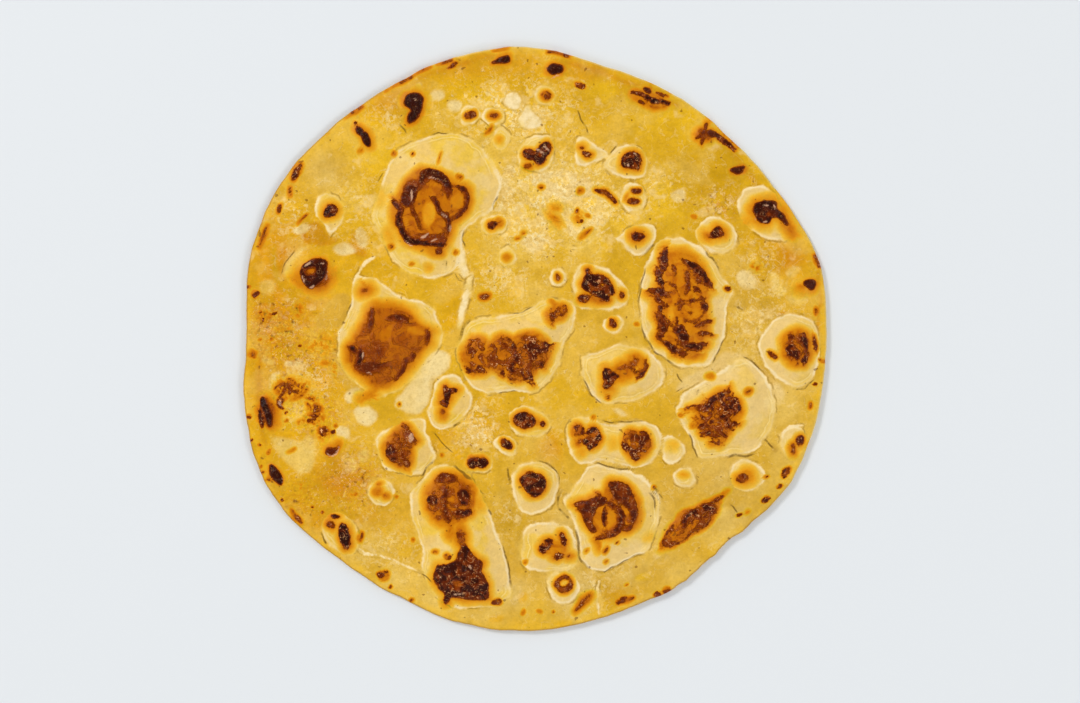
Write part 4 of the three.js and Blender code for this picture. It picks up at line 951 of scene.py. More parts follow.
def walkLine(x, y, points):    # per straight run: how far off, how far to its left, share of the line
    points = np.array(points, float)
    lengths = np.hypot(*(points[1:] - points[:-1]).T)
    whole = lengths.sum()
    gone = 0.0
    for start, end, length in zip(points[:-1], points[1:], lengths):
        run = (end - start) / length
        t = np.clip((x - start[0]) * run[0] + (y - start[1]) * run[1], 0, length)
        apart = np.hypot(x - start[0] - run[0] * t, y - start[1] - run[1] * t)
        left = (y - start[1]) * run[0] - (x - start[0]) * run[1]
        yield apart, left, (gone + t) / whole
        gone += length


def strokeDistance(x, y, width, points):    # a line that thins to its two ends
    tip = swelling["strokeTip"]
    nearest = np.full(x.shape, np.inf)
    for apart, left, share in walkLine(x, y, points):
        taper = tip + (1 - tip) * np.sin(math.pi * share)
        nearest = np.minimum(nearest, apart - 0.5 * width * taper)
    return nearest


def seamOffset(x, y, points):    # how far to the seam's left, how far along it, and how far off it
    nearest = np.full(x.shape, np.inf)
    side = np.zeros(x.shape)
    along = np.zeros(x.shape)
    for apart, left, share in walkLine(x, y, points):
        closer = apart < nearest
        nearest = np.where(closer, apart, nearest)
        side = np.where(closer, np.copysign(apart, left), side)
        along = np.where(closer, share, along)
    return side, along, nearest


# A fold is dark char; its crisp edge on one side and long fade on the other are painted shade
def foldDistance(x, y, width, points):    # dark with a crisp edge on its left, and fading out on its right
    side, share, near = seamOffset(x, y, points)
    core = charring["foldCore"] * width * (0.5 + 0.5 * np.sin(math.pi * share))
    fade = (core + charring["foldSoft"]) / (charring["foldFade"] * width)
    return np.where(side > 0, near, near * fade) - core


def scorch(crust, distance, burn, halo, grit, depth):
    # Gold glows out from the place into an amber bed; past darkFrom it has a crisp dark heart too
    amber = min(burn, charring["amberMost"])
    edge = charring["edgeShare"] * min(amber, charring["edgeMost"])
    outside = edge * np.clip(1 - distance / halo, 0, 1) ** charring["glowFall"]
    inside = edge + (amber - edge) * smooth(-distance / depth)
    toast = np.where(distance > 0, outside, inside)
    crust["grit"] = np.where(toast > crust["toast"], grit, crust["grit"])
    crust["toast"] = np.maximum(crust["toast"], toast)
    if burn >= charring["darkFrom"]:
        closer = distance < crust["dark"]
        crust["burn"] = np.where(closer, burn, crust["burn"])
        crust["grit"] = np.where(closer, grit, crust["grit"])
        crust["dark"] = np.minimum(crust["dark"], distance)


def openUp(crust, distance, burn):    # a paler place in the char
    cap = burn + (1 - burn) * smooth((distance + charring["holeInset"]) / charring["holeFade"])
    crust["toast"] = np.minimum(crust["toast"], cap)
    crust["dark"] = np.maximum(crust["dark"], -charring["holeEdge"] - charring["holeClear"] * distance)
    crust["sunk"] = np.maximum(crust["sunk"], smooth(-distance / charring["holeSlope"]))


def spread(x, y, zones):
    amount = np.zeros(x.shape)
    for cx, cy, reachX, reachY, most in zones:
        amount = np.maximum(amount, most * np.exp(-((x - cx) / reachX) ** 2 - ((y - cy) / reachY) ** 2))
    return amount


def plain(x, name):
    return np.tile(np.array(linear(crustLook[name])), (len(x), 1))


def brushed(tone, amount, name):
    return tone + np.clip(amount, 0, 1)[:, None] * (plain(tone, name) - tone)


def paintSheet(x, y, outlines):
    sway = 1 + sheet["toneSway"] * roughness(x, y, *strays["tone"])
    tone = plain(x, "ochre")
    for name, zones in tones.items():
        tone = brushed(tone, spread(x, y, zones) * sway, name)
    for name, amount, width, soft, *points in bands:
        cover = smooth(0.5 - strokeDistance(*outlines, width, points) / soft)
        tone = brushed(tone, amount * sway * cover, name)
    for name, amount, soft, shape in patches:
        tone = brushed(tone, amount * smooth(0.5 - shapeDistance(*outlines, shape) / soft), name)
    for shape in flakes:
        tone = brushed(tone, sheet["flakeTone"] * smooth(0.5 - shapeDistance(*outlines, shape)), "glow")
    return tone


def softened(values, passes):    # evens the top's grid out, so that domes have no creases
    side = sheet["topCells"] + 1
    grid = values.reshape(side, side)
    for step in range(passes):
        wide = np.pad(grid, 1, mode="edge")
        grid = (4 * grid + wide[:-2, 1:-1] + wide[2:, 1:-1] + wide[1:-1, :-2] + wide[1:-1, 2:]) / 8
    return grid.ravel()


def blisterRise(inside):
    halfWidth = inside.max()
    shoulder = swelling["shoulderShare"] * halfWidth
    rise = min(swelling["riseShare"] * halfWidth, swelling["mostRise"])
    dome = rise * smooth(inside / shoulder)
    if halfWidth >= swelling["dentFrom"]:
        dome = dome - swelling["dent"] * smooth((inside - shoulder) / (halfWidth - shoulder))
    return dome


def raiseBlisters(outlines, chars, crust):
    rise = np.zeros(outlines[0].shape)
    skin = np.full(rise.shape, -swelling["reach"])
    deep = charring["amberDepth"]
    for blister in blisters.values():
        inside = -cornersDistance(*outlines, blister["skin"])
        rise = np.maximum(rise, blisterRise(inside))
        if blister.get("ringed", True):
            skin = np.maximum(skin, inside)
        grit = blister["grit"]
        for burn, shape in blister["char"]:
            scorch(crust, shapeDistance(*chars, shape), burn, blister["halo"], grit, deep)
        for burn, shape in blister.get("holes", []):
            openUp(crust, shapeDistance(*chars, shape), burn)
        for width, burn, *points in blister.get("folds", []):
            scorch(crust, foldDistance(*chars, width, points), burn, charring["foldHalo"], grit, deep)

    deep = charring["shallow"] * deep
    groups = ((buttons, charring["buttonGrit"], True), (swells, charring["swellGrit"], False))
    for group, grit, ringed in groups:
        for outline, halo, *places in group:
            inside = -shapeDistance(*outlines, outline)
            rise = np.maximum(rise, blisterRise(inside))
            if ringed:
                skin = np.maximum(skin, inside)
            for burn, shape in places:
                scorch(crust, shapeDistance(*chars, shape), burn, halo, grit, deep)
    return rise, skin


def liftFlakes(outlines, rise, skin):
    lift = swelling["flakeRise"]
    for shape in flakes:
        rise = np.maximum(rise, lift * smooth(-shapeDistance(*outlines, shape) / swelling["flakeSlope"]))
    for shape in clearFlakes:
        skin = np.maximum(skin, np.minimum(-shapeDistance(*outlines, shape), swelling["flakeSkin"]))
    for width, *points in ridges:
        inside = -strokeDistance(*outlines, width, points)
        rise = np.maximum(rise, lift * smooth(0.5 + inside / swelling["ridgeSlope"]))
        skin = np.maximum(skin, inside)
    return rise, skin


def burnMarks(chars, crust):
    near = charring["markHalo"]
    for *oval, burn in spots:
        narrow = min(oval[2], oval[3])
        halo = near + charring["spotHalo"] * narrow
        depth = charring["spotDepth"] * narrow
        scorch(crust, ovalDistance(*chars, oval), burn, halo, charring["spotGrit"], depth)
    for width, burn, *points in dashes:
        halo = near + charring["dashHalo"] * width
        depth = charring["dashDepth"] * width
        scorch(crust, strokeDistance(*chars, width, points), burn, halo, charring["dashGrit"], depth)


def pressSeams(outlines):    # the nearest seam: half widths off it, its strength, millimetres off it
    seam = np.full(outlines[0].shape, swelling["reach"])
    strength = np.zeros(seam.shape)
    nearest = np.full(seam.shape, np.inf)
    for width, *points in cracks:
        side, share, near = seamOffset(*outlines, points)
        closer = near < nearest
        nearest = np.where(closer, near, nearest)
        seam = np.where(closer, side / (0.5 * width), seam)
        ends = smooth(swelling["seamTaper"] * np.minimum(share, 1 - share))
        sides = smooth((swelling["seamReach"] - near) / swelling["seamBlur"])
        strength = np.where(closer, ends * sides, strength)
    return seam, strength, nearest


def bakeTop(x, y, toEdge):
    outlines = strayed(x, y, swelling["outlineWander"], "outline")
    chars = strayed(x, y, charring["wander"], "char")
    far = np.full(x.shape, swelling["reach"])
    none = np.zeros(x.shape)
    crust = {"toast": none, "dark": far, "burn": none, "grit": none, "sunk": none}
    rise, skin = raiseBlisters(outlines, chars, crust)
    rise, skin = liftFlakes(outlines, rise, skin)
    burnMarks(chars, crust)
    wander = charring["haloWander"] * roughness(x, y, *strays["halo"])
    thin = smooth((charring["amberFrom"] - crust["toast"]) / charring["haloBlend"])
    crust["toast"] = crust["toast"] * (1 + wander * thin)
    # Distance to the glint strokes, which are painted as highlights
    paintedGlint = far
    for width, *points in paintedGlints:
        paintedGlint = np.minimum(paintedGlint, strokeDistance(*chars, width, points))
    seam, seamRun, seamNear = pressSeams(outlines)

    bare = smooth((swelling["bareFrom"] - skin) / swelling["bareFade"])
    fields = {name: spread(x, y, zones) * bare for name, zones in textures.items()}
    fields["sheetTone"] = paintSheet(x, y, outlines)
    fields.update({"skin": skin, "seam": seam, "seamRun": seamRun, "paintedGlint": paintedGlint})
    fields.update({name: crust[name] for name in ("toast", "dark", "burn", "grit")})

    # Relief, one kind after the other
    charred = smooth(0.5 - crust["dark"] / charring["crustSlope"])
    pucker = 1 - 2 * np.abs(roughness(*chars, *strays["pucker"]))
    amber = smooth((crust["toast"] - charring["amberFrom"]) / charring["amberSpan"])
    lip = np.exp(-((skin - swelling["lipAt"]) / swelling["lipWidth"]) ** 2)
    groove = np.exp(-((skin - swelling["grooveAt"]) / swelling["grooveWidth"]) ** 2)
    crease = np.exp(-(seamNear / swelling["seamWidth"]) ** 2) * seamRun
    loose = (fields["flaky"] + fields["crumbly"]) * roughness(x, y, *strays["loose"])
    domes = softened(rise, swelling["evenings"]) * smooth(toEdge / sheet["domeFade"])
    height = sheetHeight(x, y, toEdge) + domes
    height = height + swelling["lip"] * lip - swelling["groove"] * groove
    height = height + charring["crustRise"] * charred - charring["holeSink"] * crust["sunk"]
    height = height + charring["wrinkle"] * amber * (pucker - charring["wrinkleLevel"])
    height = height - swelling["seamSink"] * crease
    height = height + sheet["pimple"] * roughness(x, y, *strays["pimple"]) + sheet["looseRise"] * loose
    height = sheet["rimThick"] + (height - sheet["rimThick"]) * smooth(toEdge / sheet["reliefFade"])
    return height, fields


# Underside: griddled flat, with broad brown patches where it lay on the hot iron
underside = {
    "blotShare": 0.35,
    "toastMost": 0.6,
    "toastFrom": 0.12,
    "toastSpan": 0.5,
    "beige": 0.5,            # amounts half way between brown and pale
    "golden": 0.4,
    "flaky": 0.5,
    "grit": 0.4,
}


def bakeUnderside(x, y):
    browned = roughness(x, y, *strays["underPatch"])
    browned = browned + underside["blotShare"] * roughness(x, y, *strays["underBlot"])
    none = np.zeros(x.shape)
    far = none + swelling["reach"]
    tone = brushed(plain(x, "ochre"), underside["beige"] * (1 - browned), "beige")
    fields = {name: none for name in ("burn", "seamRun", "crumbly", "scorched")}
    fields.update({name: far for name in ("dark", "paintedGlint", "seam")})
    fields["skin"] = -far
    fields["sheetTone"] = brushed(tone, underside["golden"] * (1 + browned), "golden")
    toasted = smooth((browned - underside["toastFrom"]) / underside["toastSpan"])
    fields["toast"] = underside["toastMost"] * toasted
    fields["flaky"] = underside["flaky"] * (1 - browned)
    fields["grit"] = none + underside["grit"]
    return fields


# Flat layout of the bread: the top with its rim is the large disc, the underside the small one
layout = {
    "unit": 110.0,           # millimetres that the disc's radius stands for
    "topScale": 0.375,
    "topMiddle": 0.405,
    "underScale": 0.17,
    "underMiddle": 0.82,
    "ringStep": 0.012,       # each ring of the rim lies this share outside the one before
}


def roundGrid(cells):    # a square grid drawn out to a disc: share of the radius, and bearing in degrees
    side = np.linspace(-1, 1, cells + 1)
    a, b = np.meshgrid(side, side)
    wide = np.abs(a) >= np.abs(b)
    share = np.where(wide, a, b)
    other = np.where(wide, b, a)
    slant = math.pi / 4 * np.divide(other, share, out=np.zeros_like(share), where=share != 0)
    bearing = np.where(wide, slant, math.pi / 2 - slant)
    bearing = np.degrees(bearing) + np.where(share < 0, 180.0, 0.0)
    return np.abs(share).ravel(), bearing.ravel()


def gridRim(cells):    # the grid's border, once round from the lower left corner
    row = cells + 1
    low = list(range(cells))
    right = [line * row + cells for line in range(cells)]
    top = [cells * row + cells - column for column in range(cells)]
    left = [(cells - line) * row for line in range(cells)]
    return low + right + top + left


def gridFaces(cells, first, flip):
    row = cells + 1
    corner = (np.arange(cells)[:, None] * row + np.arange(cells)[None, :]).ravel() + first
    quads = np.stack([corner, corner + 1, corner + row + 1, corner + row], 1)
    return (quads[:, ::-1] if flip else quads).tolist()


def rollTop():
    inset = sheet["rimRound"]
    share, bearing = roundGrid(sheet["topCells"])
    radius = rimRadius(bearing)
    reach = share * (radius - inset)
    x, y = around(reach, bearing)
    height, fields = bakeTop(x, y, radius - inset - reach)
    fields["edge"] = radius - reach
    disc = np.stack([x, y], 1) / layout["unit"]
    return {"points": np.stack([x, y, height], 1), "fields": fields, "disc": disc, "bearing": bearing,
            "radius": radius}


def rollRim(top):    # rings from the top's border down to the underside's, with the char tattering out
    inset = sheet["rimRound"]
    rings = sheet["rimRings"]
    rim = gridRim(sheet["topCells"])
    x, y, height = top["points"][rim].T
    radius = top["radius"][rim]
    fields = {name: values[rim] for name, values in top["fields"].items()}
    tatter = roughness(x, y, *strays["tatter"])
    made = []
    for ring in range(1, rings + 1):
        angle = math.pi * ring / rings
        drawnIn = inset * (1 - math.sin(angle))
        ringX, ringY = around(radius - drawnIn, top["bearing"][rim])
        points = np.stack([ringX, ringY, height * (0.5 + 0.5 * math.cos(angle))], 1)
        left = smooth(sheet["tatterFrom"] - ring / rings - sheet["tatter"] * tatter)
        ringFields = dict(fields)
        ringFields["edge"] = np.full(len(rim), drawnIn)
        ringFields["toast"] = fields["toast"] * left
        ringFields["dark"] = fields["dark"] + sheet["rimClear"] * (1 - left)
        disc = top["disc"][rim] * (1 + layout["ringStep"] * ring)
        made.append({"points": points, "fields": ringFields, "disc": disc})
    return made


def rollUnderside():
    share, bearing = roundGrid(sheet["underCells"])
    radius = rimRadius(bearing)
    reach = share * (radius - sheet["rimRound"]) * (1 - sheet["underInset"])
    x, y = around(reach, bearing)
    fields = bakeUnderside(x, y)
    fields["edge"] = radius - reach
    disc = np.stack([x, y], 1) / layout["unit"]
    return {"points": np.stack([x, y, np.zeros(len(x))], 1), "fields": fields, "disc": disc}


def stitchFaces():    # top, rim and underside, and how many faces come before the underside's
    cells = sheet["topCells"]
    underCells = sheet["underCells"]
    faces = gridFaces(cells, 0, False)
    inner = gridRim(cells)
    count = len(inner)
    first = (cells + 1) ** 2
    for ring in range(sheet["rimRings"]):
        outer = list(range(first, first + count))
        for step in range(count):
            onward = (step + 1) % count
            faces.append([inner[onward], inner[step], outer[step], outer[onward]])
        inner = outer
        first += count
    above = len(faces)

    # The underside's border has one point to several of the last ring
    underRim = [first + index for index in gridRim(underCells)]
    ratio = cells // underCells
    for step, corner in enumerate(underRim):
        onward = underRim[(step + 1) % len(underRim)]
        run = [inner[(step * ratio + part) % count] for part in range(ratio + 1)]
        faces.append([run[0], corner, onward, run[-1]] + run[-2:0:-1])
    return faces + gridFaces(underCells, first, True), above


def middleShift():    # moves the rim's own middle to the frame's
    steps = 3600
    bearing = np.linspace(0, 360, steps, endpoint=False)
    x, y = around(rimRadius(bearing), bearing)
    return [-(x.max() + x.min()) / 2, -(y.max() + y.min()) / 2, 0.0]


def layFlat(mesh, disc, above):
    corner = np.zeros(len(mesh.loops), int)
    mesh.loops.foreach_get("vertex_index", corner)
    starts = np.zeros(len(mesh.polygons), int)
    mesh.polygons.foreach_get("loop_start", starts)
    under = (np.arange(len(corner)) >= starts[above])[:, None]
    large = disc[corner] * layout["topScale"] + layout["topMiddle"]
    small = disc[corner] * layout["underScale"] + layout["underMiddle"]
    flat = mesh.uv_layers.new(name="OFBake")
    flat.data.foreach_set("uv", np.where(under, small, large).astype(np.float32).ravel())


def rollBread():
    top = rollTop()
    parts = [top] + rollRim(top) + [rollUnderside()]
    faces, above = stitchFaces()
    points = np.concatenate([part["points"] for part in parts]) + middleShift()
    mesh = bpy.data.meshes.new("bread")
    mesh.from_pydata((points * mm).tolist(), [], faces)
    mesh.polygons.foreach_set("use_smooth", np.ones(len(mesh.polygons), bool))
    for name in top["fields"]:
        values = np.concatenate([part["fields"][name] for part in parts]).astype(np.float32)
        coloured = values.ndim == 2
        layer = mesh.attributes.new(name, "FLOAT_COLOR" if coloured else "FLOAT", "POINT")
        layer.data.foreach_set("color" if coloured else "value", values.ravel())
    layFlat(mesh, np.concatenate([part["disc"] for part in parts]), above)
    mesh.validate()
    bread = bpy.data.objects.new("bread", mesh)
    bpy.context.scene.collection.objects.link(bread)
    print("bread rolled:", len(mesh.vertices), "points,", len(faces), "faces")
    return bread


# Crust: colours as they look in daylight, 0 to 255
crustLook = {
    "ochre": (226, 175, 34),
    "beige": (214, 170, 70),
    "olive": (203, 153, 16),
    "golden": (231, 171, 16),
    "ember": (206, 132, 8),
    "sunny": (243, 194, 30),
    "tan": (217, 168, 56),
    "pale": (233, 195, 98),
    "ashen": (221, 187, 106),
    "mealy": (196, 150, 48),
    "crumb": (200, 120, 8),
    "paleFleckAndHighlight": (248, 226, 164),
    # Painted shade lines behind flake edges and along the rim, and one dark patch on the sheet
    "hairline": (164, 114, 32),
    "cream": (236, 203, 132),
    "butter": (236, 194, 88),
    "buttery": (238, 197, 70),
    # Painted shade in blister tucks and wrinkles
    "outline": (150, 110, 28),
    "glow": (243, 217, 152),
    # Painted highlight: blister lips and wet specks
    "lip": (248, 226, 176),
    # Dark of cracks and seams, partly their own colour and partly painted crease shade
    "seam": (104, 74, 20),
    # Painted highlight along the rim's upper right
    "rimHighlight": (240, 212, 122),
    "rimStrip": (238, 186, 38),
    "speck": (112, 60, 16),
    # Painted highlight colours on the char, this one and the next
    "paintedSparkle": (240, 178, 116),
    "paintedGlint": (226, 178, 142),
    "browning": [(0.0, (236, 200, 110)), (0.06, (236, 191, 72)), (0.13, (233, 175, 44)),
                 (0.21, (227, 157, 24)), (0.3, (215, 135, 8)), (0.4, (197, 112, 0)), (0.5, (174, 88, 0)),
                 (0.6, (148, 66, 0)), (0.7, (120, 46, 0)), (0.8, (91, 30, 1)), (0.89, (65, 18, 2)),
                 (1.0, (36, 9, 3))],
    "mottling": [("broad", 0.45, 0.65, 0.25, "olive"), ("patchy", 0.5, 0.62, 0.3, "pale"),
                 ("patchy", 0.48, 0.36, 0.4, "olive"), ("middle", 0.52, 0.66, 0.35, 1.12),
                 ("middle", 0.48, 0.36, 0.5, 0.88)],    # noise, from, to, amount, colour or shade
    "crumbs": [("crumb", 0.44, 0.6, 0.9, "crumb"), ("salt", 0.56, 0.66, 0.8, 1.25),
               ("dots", 0.66, 0.74, 0.7, "speck")],
    "skinCover": 0.92,
    "specular": 0.08,
    "sheetGloss": 0.42,
    "skinGloss": 0.5,
    "charGloss": 0.3,
    "fineRelief": 0.15,      # millimetres, as the five below
    "flakeRelief": 0.12,
    "grainRelief": 0.06,
    "looseRelief": 0.15,
    "charGrain": 0.25,
    "charFolds": 1.2,
}

# Noise on the crust: where it is read, millimetres between its bumps, how much finer detail it has
noiseKinds = {
    "broad": ("straight", 24.0, 2.0),
    "patchy": ("straight", 11.0, 4.0),
    "middle": ("straight", 6.0, 3.0),
    "fine": ("straight", 2.1, 3.0),
    "grain": ("straight", 0.8, 2.0),
    "salt": ("straight", 0.55, 1.0),
    "dots": ("straight", 1.7, 0.0),
    "crumb": ("straight", 1.3, 3.0),
    "scales": ("torn", 6.5, 4.0),
    "chips": ("torn", 2.6, 2.0),
    "blots": ("torn", 4.6, 1.0),
    "folds": ("curled", 2.8, 0.0),
    "pleats": ("curled", 1.7, 0.0),
}
stirs = {"torn": (4.0, 2.0, 5.0), "curled": (4.0, 0.0, 4.0)}    # size, detail and reach of the push
mixSockets = {"FLOAT": (2, 3, 0), "RGBA": (6, 7, 2)}    # under, over and result of a mix node

dough = bpy.data.materials.new("griddled crust")
dough.use_nodes = True
tree = dough.node_tree


def linear(colour):
    shares = [value / 255 for value in colour]
    parts = [value / 12.92 if value <= 0.04045 else ((value + 0.055) / 1.055) ** 2.4 for value in shares]
    return (*parts, 1.0)


def feed(socket, value):
    if isinstance(value, str):
        value = linear(crustLook[value])
    if isinstance(value, bpy.types.NodeSocket):
        tree.links.new(value, socket)
    else:
        socket.default_value = value


def sums(operation, *values):
    made = tree.nodes.new("ShaderNodeMath")
    made.operation = operation
    for socket, value in zip(made.inputs, values):
        feed(socket, value)
    return made.outputs[0]


def vectors(operation, *values):
    made = tree.nodes.new("ShaderNodeVectorMath")
    made.operation = operation
    for socket, value in zip(made.inputs, values):
        feed(socket, value)
    return made.outputs[0]


def times(first, *others):
    product = first
    for value in others:
        product = sums("MULTIPLY", product, value)
    return product


def grown(value, factor, start):    # value x factor + start
    return sums("MULTIPLY_ADD", value, factor, start)


def swing(value, factor, start=0.0):    # noise about zero
    return grown(sums("SUBTRACT", value, 0.5), factor, start)


def ramp(value, low, high, start=0.0, end=1.0):
    made = tree.nodes.new("ShaderNodeMapRange")
    made.interpolation_type = "SMOOTHSTEP"
    for socket, number in zip(made.inputs, (value, low, high, start, end)):
        feed(socket, number)
    return made.outputs[0]


def contour(value, level, halfWidth):    # 1 along a line where the value is at the level
    return ramp(sums("ABSOLUTE", sums("SUBTRACT", value, level)), 0.0, halfWidth, 1.0, 0.0)


def mixed(dataType, mask, under, over, kind="MIX"):
    made = tree.nodes.new("ShaderNodeMix")
    made.data_type = dataType
    made.blend_type = kind
    first, second, result = mixSockets[dataType]
    feed(made.inputs[0], mask)
    feed(made.inputs[first], under)
    feed(made.inputs[second], over)
    return made.outputs[result]


def tint(mask, under, over, kind="MIX"):
    return mixed("RGBA", mask, under, over, kind)


def blend(mask, under, over):    # the same for plain numbers
    return mixed("FLOAT", mask, under, over)


def shade(colour, amount):    # makes a colour lighter or darker
    made = tree.nodes.new("ShaderNodeVectorMath")
    made.operation = "SCALE"
    tree.links.new(colour, made.inputs[0])
    feed(made.inputs["Scale"], amount)
    return made.outputs[0]


def stain(mask, colour, over):    # with a colour by name, or with the same colour shaded
    return tint(mask, colour, over if isinstance(over, str) else shade(colour, over))


def cloud(where, size, detail, output=0):
    made = tree.nodes.new("ShaderNodeTexNoise")
    feed(made.inputs["Vector"], where)
    made.inputs["Scale"].default_value = 1 / size
    made.inputs["Detail"].default_value = detail
    return made.outputs[output]


def stirred(where, size, detail, reach):    # the same place, pushed about by soft noise
    centred = vectors("SUBTRACT", cloud(where, size, detail, "Color"), (0.5, 0.5, 0.5))
    return vectors("MULTIPLY_ADD", centred, (reach, reach, reach), where)


def field(name, output="Fac"):
    made = tree.nodes.new("ShaderNodeAttribute")
    made.attribute_name = name
    return made.outputs[output]


def crustPlace():    # in millimetres
    place = tree.nodes.new("ShaderNodeTexCoord")
    return shade(place.outputs["Object"], 1 / mm)


def sheetLook(at, noise):
    # Painted tones, a little uneven, with a mealy grain
    colour = field("sheetTone", "Color")
    for name, low, high, most, over in crustLook["mottling"]:
        colour = stain(ramp(noise[name], low, high, 0.0, most), colour, over)
    mealy = ramp(noise["grain"], 0.3, 0.5, grown(at["crumbly"], 0.3, 0.14), 0.0)
    colour = tint(mealy, colour, "mealy")

    # Crumbly places: orange and brown crumbs, pale grains between them
    for name, low, high, most, over in crustLook["crumbs"]:
        colour = stain(times(ramp(noise[name], low, high), at["crumbly"], most), colour, over)

    # Flaky places: soft pale scales and stains, thin edges painted as highlights with lines of painted
    # shade behind them
    lifted = ramp(grown(at["flaky"], 0.3, noise["scales"]), 0.62, 0.74)
    chipped = ramp(grown(at["flaky"], 0.24, noise["chips"]), 0.67, 0.76)
    flakeMask = sums("MAXIMUM", lifted, chipped)
    flake = tint(ramp(noise["middle"], 0.46, 0.6, 0.65, 0.3), shade(colour, 1.15), "cream")
    colour = tint(times(flakeMask, 0.8), colour, flake)
    colour = tint(times(ramp(noise["blots"], 0.56, 0.62), at["flaky"], 0.55), colour, "sunny")
    shown = times(grown(at["flaky"], 0.6, 0.2), ramp(noise["middle"], 0.42, 0.6))
    colour = tint(times(contour(noise["scales"], 0.478, 0.016), shown, 0.6), colour, "hairline")
    colour = tint(times(contour(noise["scales"], 0.508, 0.022), shown), colour, "paleFleckAndHighlight")
    # Pale flecks, partly flour grains and partly painted sparkle highlights
    flecks = times(ramp(noise["crumb"], 0.52, 0.6), at["flaky"], ramp(noise["middle"], 0.36, 0.52), 0.85)
    colour = tint(flecks, colour, "paleFleckAndHighlight")
    # Tiny wet highlights painted over the loose places, in the pale lip colour
    paintedWetGlint = times(ramp(noise["salt"], 0.64, 0.71), grown(at["loose"], 0.5, 0.05))
    colour = tint(paintedWetGlint, colour, "lip")
    pits = times(ramp(noise["crumb"], 0.44, 0.35), at["flaky"], 0.4)
    return tint(pits, colour, "mealy"), flakeMask


def skinLook(colour, at, noise):
    # Blister skin: cream with yellow stains, its border broken into tucks darkened with painted shade
    # outside and a pale lip painted as a highlight inside
    border = swing(noise["fine"], 1.4, at["skin"])
    softness = ramp(noise["patchy"], 0.4, 0.6, 0.25, 1.2)
    skinMask = ramp(border, times(softness, -1.0), softness, 0.0, crustLook["skinCover"])
    stains = times(ramp(noise["patchy"], 0.46, 0.6), ramp(at["east"], -40.0, 60.0, 0.95, 0.5))
    cream = tint(ramp(at["east"], -60.0, 40.0, 0.4, 0.0), "cream", "butter")
    cream = tint(stains, cream, "buttery")
    cream = tint(ramp(noise["middle"], 0.5, 0.62, 0.0, 0.4), cream, "glow")
    cream = tint(0.12, cream, field("sheetTone", "Color"))
    colour = tint(skinMask, colour, cream)
    # Painted shade in the tucks outside the border
    broken = ramp(noise["middle"], 0.5, 0.64, 0.0, 0.6)
    tuckShade = times(ramp(border, -0.9, -0.4), ramp(border, -0.3, 0.2, 1.0, 0.0), broken)
    colour = tint(tuckShade, colour, "outline")
    # A pale lip inside the border, painted as a highlight
    broken = ramp(noise["patchy"], 0.4, 0.6, 0.8, 0.2)
    lip = times(ramp(border, 0.0, 0.5), ramp(border, 0.6, 1.4, 1.0, 0.0), broken)
    colour = tint(lip, colour, "lip")
    # Wrinkles near the border: paler lines painted as highlights, and darker lines painted as shade
    wrinkled = swing(noise["middle"], 3.0, at["skin"])
    shown = times(ramp(noise["patchy"], 0.44, 0.56), ramp(at["skin"], 0.3, 1.0))
    colour = tint(times(contour(wrinkled, 1.9, 0.3), shown, 0.45), colour, "paleFleckAndHighlight")
    return tint(times(contour(wrinkled, 2.5, 0.25), shown, 0.15), colour, "outline")


def rimLook(colour, at, noise):
    # A golden strip inside the rim, and a thin line along it, painted as a highlight at the upper right and
    # as a dark line of painted shade elsewhere
    strip = times(ramp(at["edge"], 1.2, 3.6, 0.4, 0.0), ramp(noise["middle"], 0.35, 0.6))
    colour = tint(strip, colour, "rimStrip")
    upperRight = ramp(sums("ADD", at["east"], at["north"]), 10.0, 70.0)
    line = ramp(at["edge"], 0.2, 1.0, 1.0, 0.0)
    colour = tint(times(line, grown(upperRight, -0.5, 0.6)), colour, "hairline")
    return tint(times(line, upperRight, 0.6), colour, "rimHighlight")


def browning(burn):
    ladder = tree.nodes.new("ShaderNodeValToRGB")
    stops = ladder.color_ramp.elements
    while len(stops) < len(crustLook["browning"]):
        stops.new(0.5)
    for stop, (level, tone) in zip(stops, crustLook["browning"]):
        stop.position = level
        stop.color = linear(tone)
    tree.links.new(burn, ladder.inputs[0])
    return ladder.outputs[0]


